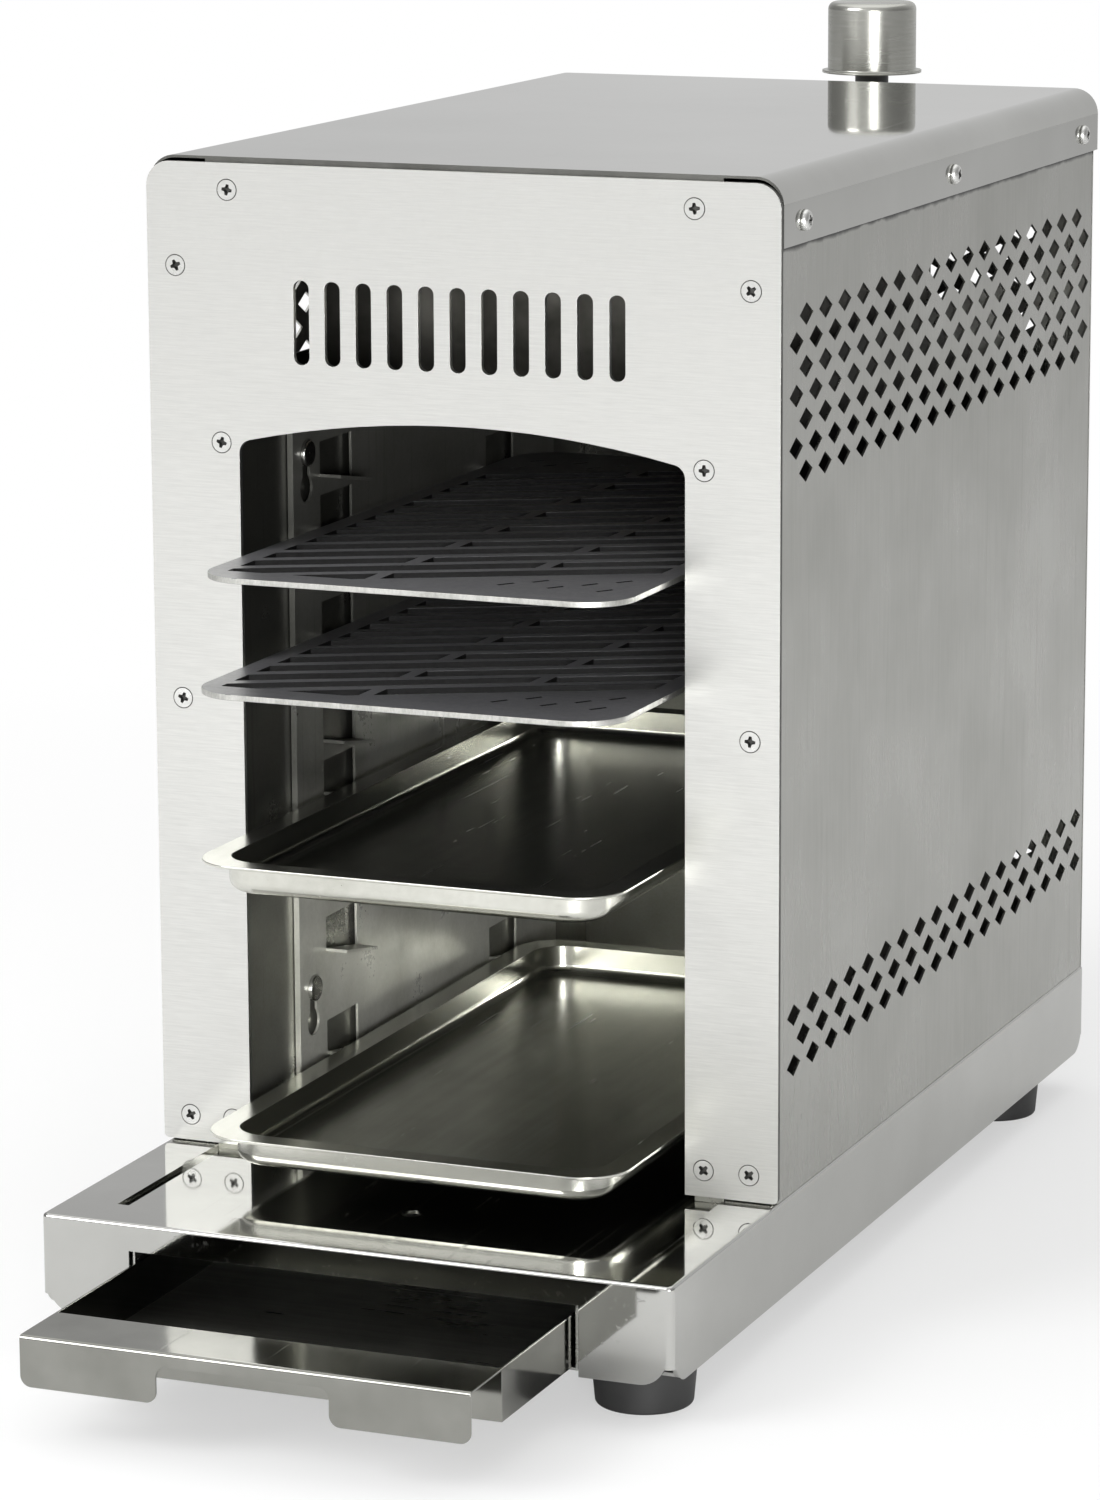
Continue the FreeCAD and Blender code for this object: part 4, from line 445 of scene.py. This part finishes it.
def climbing_shade_group():
    """A mask of painted shade that grows with the height, with an uneven edge. It has the sockets
    of the shade line, so that the darkening function takes either."""
    tree, given, result = new_group(
        "climbing_shade", (("Position", "Vector", (0, 0, 0)), ("Height", "Float", 0.2),
                       ("Width", "Float", 0.05)), (("Shade", "Float"),))
    parts = place(tree, "ShaderNodeSeparateXYZ", Vector=given["Position"])
    drift = place(tree, "ShaderNodeTexNoise", Vector=given["Position"], Scale=14, Detail=4)
    wander = place(tree, "ShaderNodeMath", {"operation": "MULTIPLY_ADD"},
                   _0=drift.outputs["Fac"], _1=0.05, _2=parts.outputs[2])
    above = place(tree, "ShaderNodeMath", {"operation": "SUBTRACT"}, _0=wander.outputs[0],
                  _1=given["Height"])
    share = place(tree, "ShaderNodeMath", {"operation": "DIVIDE", "use_clamp": True},
                  _0=above.outputs[0], _1=given["Width"])
    tree.links.new(share.outputs[0], result.inputs["Shade"])
    return tree


CLIMBING_SHADE = climbing_shade_group()
tinted = metal("heat_tinted_steel", (0.36, 0.36, 0.325), (0.24, 0.24, 0.205), 0.26, 0.40,
               grain=(900, 900, 900), grain_depth=0.000012, clouds=22, cloud_share=0.75,
               scratches=(400, 400, 8), scratch_gain=0.1, metallic=0.8)
rack_steel = metal("rack_steel", (0.66, 0.66, 0.61), (0.46, 0.46, 0.41), 0.26, 0.38,
                   grain=(600, 600, 600), grain_depth=0.00001, clouds=26, cloud_share=0.75,
                   scratches=(400, 400, 10), scratch_gain=0.1, metallic=0.5)
# painted shade: the upper chamber walls and racks are darkened from this height up
shade_drop = 0.165
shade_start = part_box("burner_tiles")[0].z - shade_drop
for steel in (tinted, rack_steel):
    painted_darker(steel, CLIMBING_SHADE, height=shade_start, width=0.045, left=0.22)
for node in ("chamber_liner_left", "chamber_liner_right", "chamber_rear_wall"):
    finished(node, tinted)
for node in ("rack_left", "rack_right"):
    finished(node, rack_steel)
for node in ("chamber_ceiling", "burner_frame"):
    finished(node, sooted)


# Burner: pale ceramic tiles with rows of fine bores, set into a flanged steel housing that a
# mixing tube feeds with gas and air. A spark electrode sits in a white ceramic sleeve.

bore_pitch = 0.0026
ceramic = moulded("burner_ceramic", (0.74, 0.66, 0.54), 0.78, 500, 0.00008)
tree = ceramic.node_tree
shader = tree.nodes["Principled BSDF"]
where = place(tree, "ShaderNodeTexCoord")
spaced = place(tree, "ShaderNodeVectorMath", {"operation": "SCALE"}, _0=where.outputs["Object"],
               Scale=1 / bore_pitch)
cell = place(tree, "ShaderNodeVectorMath", {"operation": "FRACTION"}, _0=spaced.outputs[0])
off = place(tree, "ShaderNodeVectorMath", {"operation": "SUBTRACT"}, _0=cell.outputs[0],
            _1=(0.5, 0.5, 0.5))
flat = place(tree, "ShaderNodeVectorMath", {"operation": "MULTIPLY"}, _0=off.outputs[0],
             _1=(1, 1, 0))
apart = place(tree, "ShaderNodeVectorMath", {"operation": "LENGTH"}, _0=flat.outputs[0])
# painted shade: the fine bores are painted in as dark dots on the tile's colour
bore_shade = place(tree, "ShaderNodeMapRange", Value=apart.outputs[1], From_Min=0.24, From_Max=0.3,
             To_Min=0.08)
with_bore_shade = place(tree, "ShaderNodeMix", {"data_type": "RGBA", "blend_type": "MULTIPLY"}, _0=1.0,
              _6=shader.inputs["Base Color"].links[0].from_socket, _7=bore_shade.outputs[0])
tree.links.new(with_bore_shade.outputs[2], shader.inputs["Base Color"])
finished("burner_tiles", ceramic, edge=0.0004)
finished("burner_housing", sooted)
finished("mixing_tube", galvanised, sharp=40)
insulator = moulded("white_insulator", (0.72, 0.70, 0.66), 0.35, 600, 0.00001)
finished("spark_electrode", insulator, sharp=40)


# Grates: 2 mm steel plate, laser cut with slanted slots, thin bridges and short dashes, and
# coated black. The coating is worn bright along the outer rim, and the slots' walls are painted
# near black as painted shade, so that the slots read dark.

black_plate = metal("black_coating", (0.125, 0.125, 0.132), (0.095, 0.095, 0.10), 0.30, 0.40,
                    grain=(500, 500, 500), grain_depth=0.000006, clouds=30, scratch_gain=0.05,
                    metallic=0.0)
worn_rim = metal("worn_rim", (0.60, 0.60, 0.57), (0.36, 0.36, 0.34), 0.42, 0.58,
                 grain=(900, 900, 300), grain_depth=0.00003, clouds=120, cloud_share=0.5,
                 scratch_gain=0.0)
# painted shade: the cut walls of the slots are made near black
slot_painted_shade = metal("slot_painted_shade", (0.009, 0.009, 0.009), (0.004, 0.004, 0.004), 0.55, 0.7,
                  grain=(800, 800, 800), grain_depth=0.00001, metallic=0.0, specular=0.2)
corner_radius, rim_band = 0.018, 0.0006


def upright(spot, normal):
    """Cut walls: the rim and the slots."""
    return abs(normal.z) < 0.5


def outer_rim(node):
    """A test for the cut walls that lie on the plate's outline, a rectangle with round corners."""
    low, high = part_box(node)
    middle = (low + high) / 2
    straight = high - middle - Vector((corner_radius, corner_radius, 0))

    def on_rim(spot, normal):
        past_x = abs(spot.x - middle.x) - straight.x
        past_y = abs(spot.y - middle.y) - straight.y
        reach = math.hypot(max(past_x, 0), max(past_y, 0)) + min(max(past_x, past_y), 0)
        return upright(spot, normal) and reach > corner_radius - rim_band

    return on_rim


for node in ("grate_upper", "grate_lower"):
    finished(node, black_plate, edge=0.00012, cuts=1,
             marked=((worn_rim, outer_rim(node)), (slot_painted_shade, upright)))


# Trays: shallow stainless pans, drawn in one piece with a flat rim that slides on the rack tabs.
# They are bright, with wipe marks and light scratches from use.

drawn = metal("drawn_tray", (0.66, 0.66, 0.61), (0.52, 0.52, 0.47), 0.17, 0.27,
              grain=(200, 5, 200), grain_depth=0.000001, clouds=16, cloud_share=0.65,
              scratches=(900, 12, 900), scratch_start=0.7, scratch_gain=0.04)
for node in ("tray_upper", "tray_lower"):
    finished(node, drawn, edge=0.0003, cuts=3, sharp=35)


# Gas line behind the housing: a brass valve on a folded bracket, with a copper pipe to the jet
# and two leads to the burner.

brass = metal("valve_brass", (0.74, 0.56, 0.28), (0.58, 0.42, 0.19), 0.22, 0.36,
              grain=(200, 200, 200), grain_depth=0.000004, clouds=45)
copper = metal("gas_copper", (0.74, 0.43, 0.28), (0.56, 0.31, 0.20), 0.20, 0.34,
               grain=(200, 200, 200), grain_depth=0.000004, clouds=45)
finished("valve_bracket", satin)
for node in ("valve_body", "valve_nut", "gas_inlet", "gas_jet", "valve_plug"):
    finished(node, brass, sharp=40)
for node in ("gas_pipe", "thermocouple_lead"):
    finished(node, copper, sharp=50)
lead_cover = moulded("silicone_cover", (0.38, 0.055, 0.035), 0.45, 400, 0.00002)
finished("ignition_lead", lead_cover, sharp=50)
turned_steel = metal("turned_steel", (0.62, 0.62, 0.60), (0.48, 0.48, 0.46), 0.16, 0.28,
                     grain=(300, 300, 300), grain_depth=0.000003, clouds=90)
for node in ("valve_spindle", "thermocouple", "rack_studs"):
    finished(node, turned_steel, sharp=40)
spring = finished("valve_spring", turned_steel, edge=0.0001, cuts=1, sharp=40)
seat, tip = (corner.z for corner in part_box("valve_spring"))
valve_along, knob_press = 0.316, 0.003
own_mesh(spring)


# Knob: a cup drawn from steel sheet and polished, with a narrow flange round its mouth. It is
# pressed on a hub of dark plastic, which sits on the valve's spindle.

hub_plastic = moulded("hub_plastic", (0.03, 0.03, 0.03), 0.45, 700, 0.00002)
finished("knob_hub", hub_plastic, sharp=40)
knob_steel = metal("knob_steel", (0.52, 0.52, 0.485), (0.42, 0.42, 0.385), 0.2, 0.28,
                   grain=(60, 60, 900), grain_depth=0.000002, clouds=30, cloud_share=0.5,
                   scratches=(30, 30, 600), scratch_gain=0.08)
cup_top, cup_bottom, cup_radius, flange_radius, wall = 0.4415, 0.4120, 0.0185, 0.02085, 0.001
top_round, flange_round, inside_round = 0.003, 0.0006, 0.002
cup_profile = rounded(
    [(0, cup_top), (cup_radius, cup_top), (cup_radius, cup_bottom + wall),
     (flange_radius, cup_bottom + wall), (flange_radius, cup_bottom),
     (cup_radius - wall, cup_bottom), (cup_radius - wall, cup_top - wall), (0, cup_top - wall)],
    {1: top_round, 2: flange_round, 6: inside_round})
cup = lathed("knob_cup", cup_profile, (0, valve_along), knob_steel, segments=128)
stand_for(cup, "knob_cap")


# Screws: M4 with a cross recess, flat heads sunk in the front panel and pan heads elsewhere.
# One head of each kind is laid out at its places by a geometry tree.

HEAD_SIDES = 24
SHANK_RADIUS, SHANK_END = 0.002, -0.008


def screw_head(name, rings, arm, depth):
    """A shank and a head from (radius, height) rings up to the top, with a tapered cross recess
    whose arms reach out to arm. The recess floor is narrower than its mouth."""
    form = bmesh.new()
    narrow, throat, taper = 0.00048, 0.00078, 0.55
    quarter = [(arm, -narrow), (arm, narrow), (throat, throat)]
    outline = []
    for _ in range(4):
        outline += quarter
        quarter = [(-y, x) for x, y in quarter]
    loops = [[form.verts.new((radius * math.cos(step * math.tau / HEAD_SIDES),
                              radius * math.sin(step * math.tau / HEAD_SIDES), height))
              for step in range(HEAD_SIDES)]
             for radius, height in [(SHANK_RADIUS, SHANK_END)] + rings]
    for near, far in zip(loops, loops[1:]):
        for step in range(HEAD_SIDES):
            form.faces.new((near[step - 1], near[step], far[step], far[step - 1])).smooth = True
    form.faces.new(list(reversed(loops[0])))
    top = rings[-1][1]
    mouth = [form.verts.new((x, y, top)) for x, y in outline]
    floor = [form.verts.new((x * taper, y * taper, top - depth)) for x, y in outline]
    edges = [form.edges.get((loops[-1][step - 1], loops[-1][step]))
             for step in range(HEAD_SIDES)]
    edges += [form.edges.new((mouth[step - 1], mouth[step])) for step in range(len(outline))]
    bmesh.ops.triangle_fill(form, edges=edges, use_beauty=True)
    for step in range(len(outline)):
        side = form.faces.new((mouth[step - 1], mouth[step], floor[step], floor[step - 1]))
        side.material_index = 1
    form.faces.new(floor).material_index = 1
    bmesh.ops.recalc_face_normals(form, faces=form.faces)
    mesh = bpy.data.meshes.new(name)
    form.to_mesh(mesh)
    form.free()
    mesh.materials.append(screw_steel)
    mesh.materials.append(recess_shade)
    return bpy.data.objects.new(name, mesh)


def screw_layout():
    """Geometry tree: one head at each point, its axis along the point's own direction."""
    tree = bpy.data.node_groups.new("screw_layout", "GeometryNodeTree")
    for label, kind in (("Points", "Geometry"), ("Head", "Object"), ("Size", "Float"),
                        ("Steel", "Material")):
        tree.interface.new_socket(label, in_out="INPUT", socket_type=f"NodeSocket{kind}")
    tree.interface.new_socket("Screws", in_out="OUTPUT", socket_type="NodeSocketGeometry")
    given = tree.nodes.new("NodeGroupInput").outputs
    axis = place(tree, "GeometryNodeInputNamedAttribute", {"data_type": "FLOAT_VECTOR"},
                 Name="axis")
    turn = place(tree, "GeometryNodeInputNamedAttribute", {"data_type": "FLOAT"}, Name="turn")
    aimed = place(tree, "FunctionNodeAlignRotationToVector", {"axis": "Z"},
                  Vector=axis.outputs[0])
    spin = place(tree, "FunctionNodeAxisAngleToRotation", Axis=(0, 0, 1), Angle=turn.outputs[0])
    turned = place(tree, "FunctionNodeRotateRotation", {"rotation_space": "LOCAL"},
                   Rotation=aimed.outputs[0], Rotate_By=spin.outputs[0])
    head = place(tree, "GeometryNodeObjectInfo", Object=given["Head"])
    points = place(tree, "GeometryNodeMeshToPoints", Mesh=given["Points"])
    laid = place(tree, "GeometryNodeInstanceOnPoints", Points=points.outputs[0],
                 Instance=head.outputs["Geometry"], Rotation=turned.outputs[0],
                 Scale=given["Size"])
    real = place(tree, "GeometryNodeRealizeInstances", Geometry=laid.outputs[0])
    recess = place(tree, "GeometryNodeInputMaterialIndex")
    is_head = place(tree, "FunctionNodeCompare", {"data_type": "INT", "operation": "EQUAL"},
                    _2=recess.outputs[0], _3=0)
    dressed = place(tree, "GeometryNodeSetMaterial", Geometry=real.outputs[0],
                    Selection=is_head.outputs[0], Material=given["Steel"])
    result = tree.nodes.new("NodeGroupOutput")
    tree.links.new(dressed.outputs[0], result.inputs[0])
    return tree


UNEVEN_TURN = 2.4


def lay_screws(node, head, spots, seed):
    """Screws at ((x, y, z), axis) spots, their crosses turned unevenly from the seed on, as one
    plain mesh in place of the node."""
    mesh = bpy.data.meshes.new(f"spots_{node}")
    mesh.from_pydata([spot for spot, _ in spots], [], [])
    mesh.attributes.new("axis", "FLOAT_VECTOR", "POINT")
    mesh.attributes.new("turn", "FLOAT", "POINT")
    for index, (_, axis) in enumerate(spots):
        mesh.attributes["axis"].data[index].vector = axis
        mesh.attributes["turn"].data[index].value = (seed + UNEVEN_TURN * index) % 1.57
    holder = bpy.data.objects.new(f"spots_{node}", mesh)
    bpy.context.scene.collection.objects.link(holder)
    layout = holder.modifiers.new("layout", "NODES")
    layout.node_group = SCREW_LAYOUT
    sockets = {socket.name: socket.identifier for socket in SCREW_LAYOUT.interface.items_tree
               if socket.in_out == "INPUT"}
    layout[sockets["Head"]] = head
    layout[sockets["Size"]] = 1.0
    layout[sockets["Steel"]] = screw_steel
    view = bpy.context.evaluated_depsgraph_get()
    laid = bpy.data.meshes.new_from_object(holder.evaluated_get(view))
    bpy.data.objects.remove(holder)
    piece = bpy.data.objects.new(f"laid_{node}", laid)
    bpy.context.scene.collection.objects.link(piece)
    stand_for(piece, node)


screw_steel = metal("screw_steel", (0.74, 0.74, 0.72), (0.60, 0.60, 0.58), 0.24, 0.36,
                    grain=(400, 400, 400), grain_depth=0.000003, clouds=120)
recess_shade = metal("recess_shade", (0.10, 0.10, 0.095), (0.05, 0.05, 0.048), 0.4, 0.6)
SCREW_LAYOUT = screw_layout()
flat_head = screw_head("flat_head", [(0.002, -0.0017), (0.00352, -0.0002), (0.0036, 0.0)],
                       arm=0.0020, depth=0.0012)
pan_head = screw_head("pan_head", [(0.002, 0.0), (0.0038, 0.0), (0.0038, 0.0008),
                                   (0.0036, 0.0014), (0.0031, 0.0020), (0.0025, 0.0024)],
                      arm=0.0019, depth=0.0013)
both_sides = (-1, 1)
FRONT, REAR, DOWN = Vector((0, -1, 0)), Vector((0, 1, 0)), Vector((0, 0, -1))
panel_face, rear_face, bracket_face = -0.12598, 0.246, 0.2475
cover_side, base_underside = 0.120, 0.0499
lay_screws("front_panel_screws", flat_head, [
    ((sign * x, panel_face, z), FRONT) for sign in both_sides
    for x, z in ((0.1091, 0.3750), (0.1091, 0.2181), (0.1091, 0.0621), (0.0920, 0.3122),
                 (0.0920, 0.0621), (0.0884, 0.4025))], seed=0.4)
lay_screws("cover_screws", pan_head, [
    ((sign * cover_side, y, 0.3975), Vector((sign, 0, 0))) for sign in both_sides
    for y in (-0.1031, 0.0612, 0.2255)], seed=0.9)
lay_screws("rear_panel_screws", pan_head, [
    ((sign * x, rear_face, z), REAR) for sign in both_sides
    for x, z in ((0.113, 0.0725), (0.113, 0.2325), (0.113, 0.3825), (0.060, 0.3975))], seed=0.1)
lay_screws("side_footing_screws", pan_head, [
    ((sign * 0.113, y, base_underside), DOWN) for sign in both_sides
    for y in (-0.1031, 0.2255)], seed=0.6)
lay_screws("foot_screws", pan_head, [
    ((sign * foot_out, y, well_depth), DOWN) for sign in both_sides
    for y in (-foot_along, foot_along)], seed=0.2)
lay_screws("bracket_screws", pan_head, [
    ((sign * 0.027, bracket_face, z), REAR) for sign in both_sides
    for z in (0.3375, 0.3865)], seed=0.7)
for head in (flat_head, pan_head):
    bpy.data.objects.remove(head)


# Camera where the photograph was taken from, and a soft white studio: a big lamp high on the
# left, a low one on the right that reaches into the chamber, a wide weak one overhead, and a
# pale floor.

scene = bpy.context.scene
turn, tip, roll = (math.radians(angle) for angle in (21.853, 11.417, -0.165))
ahead = Vector((-math.sin(turn) * math.cos(tip), math.cos(turn) * math.cos(tip), -math.sin(tip)))
level_right = ahead.cross(Vector((0, 0, 1))).normalized()
level_up = level_right.cross(ahead)
right = level_right * math.cos(roll) + level_up * math.sin(roll)
up = level_up * math.cos(roll) - level_right * math.sin(roll)
camera = bpy.data.objects.new("camera", bpy.data.cameras.new("camera"))
camera.data.lens = 129.58
camera.data.shift_x = -0.0344
camera.data.shift_y = -0.0315
camera_spot = (0.74314, -1.84493, 0.60202)
facing = Matrix((right, up, -ahead)).transposed().to_4x4()
camera.matrix_world = Matrix.Translation(camera_spot) @ facing
scene.collection.objects.link(camera)
scene.camera = camera
scene.view_settings.view_transform = "Standard"

world = bpy.data.worlds.new("studio")
scene.world = world
world.use_nodes = True
tree = world.node_tree
direction = place(tree, "ShaderNodeTexCoord")
parts = place(tree, "ShaderNodeSeparateXYZ", Vector=direction.outputs["Generated"])
sideways = place(tree, "ShaderNodeMath", {"operation": "ABSOLUTE"}, _0=parts.outputs[0])
fading = place(tree, "ShaderNodeMapRange", Value=sideways.outputs[0], From_Min=0.35,
               From_Max=0.95, To_Min=1, To_Max=0.4)
front_to_back = place(tree, "ShaderNodeMapRange", Value=parts.outputs[1], From_Min=-0.7,
                      From_Max=0.7, To_Min=0.86, To_Max=0.68)
shown = place(tree, "ShaderNodeMath", {"operation": "MULTIPLY"}, _0=fading.outputs[0],
              _1=front_to_back.outputs[0])
path = place(tree, "ShaderNodeLightPath")
strength = place(tree, "ShaderNodeMath", {"operation": "MAXIMUM"},
                 _0=path.outputs["Is Camera Ray"], _1=shown.outputs[0])
tree.links.new(strength.outputs[0], tree.nodes["Background"].inputs["Strength"])
tree.nodes["Background"].inputs["Color"].default_value = (1, 1, 1, 1)

reach = 6.0
floor_mesh = bpy.data.meshes.new("floor")
floor_mesh.from_pydata([(-reach, -reach, 0), (reach, -reach, 0), (reach, reach, 0),
                        (-reach, reach, 0)], [], [(0, 1, 2, 3)])
floor = bpy.data.objects.new("floor", floor_mesh)
scene.collection.objects.link(floor)
floor_paint = bpy.data.materials.new("floor_paint")
floor_paint.use_nodes = True
tree = floor_paint.node_tree
paint = tree.nodes["Principled BSDF"]
paint.inputs["Base Color"].default_value = (0.88, 0.88, 0.88, 1)
paint.inputs["Roughness"].default_value = 1
paint.inputs["Specular IOR Level"].default_value = 0
glow = place(tree, "ShaderNodeEmission", Color=(1, 1, 1, 1), Strength=1)
where = place(tree, "ShaderNodeTexCoord")
distance = place(tree, "ShaderNodeVectorMath", {"operation": "LENGTH"},
                 _0=where.outputs["Object"])
far = place(tree, "ShaderNodeMapRange", Value=distance.outputs[1], From_Min=0.5, From_Max=1.1,
            To_Min=0.5, To_Max=1.0)
path = place(tree, "ShaderNodeLightPath")
seen = place(tree, "ShaderNodeMath", {"operation": "ADD", "use_clamp": True},
             _0=path.outputs["Is Camera Ray"], _1=path.outputs["Is Transmission Ray"])
share = place(tree, "ShaderNodeMath", {"operation": "MULTIPLY"}, _0=seen.outputs[0],
              _1=far.outputs[0])
both = place(tree, "ShaderNodeMixShader", _0=share.outputs[0], _1=paint.outputs[0],
             _2=glow.outputs[0])
tree.links.new(both.outputs[0], tree.nodes["Material Output"].inputs["Surface"])
floor_mesh.materials.append(floor_paint)

middle_of_grill = Vector((0, 0, 0.2))
for name, spot, size, power in (("key", (-1.3, -1.7, 1.5), 1.3, 35),
                                ("chamber", (0.95, -1.75, 0.20), 0.7, 36),
                                ("top", (-0.2, 0.5, 2.1), 2.6, 13)):
    lamp = bpy.data.lights.new(name, "AREA")
    lamp.size = size
    lamp.energy = power
    holder = bpy.data.objects.new(name, lamp)
    holder.location = spot
    aim = middle_of_grill - Vector(spot)
    holder.rotation_euler = aim.to_track_quat("-Z", "Y").to_euler()
    scene.collection.objects.link(holder)
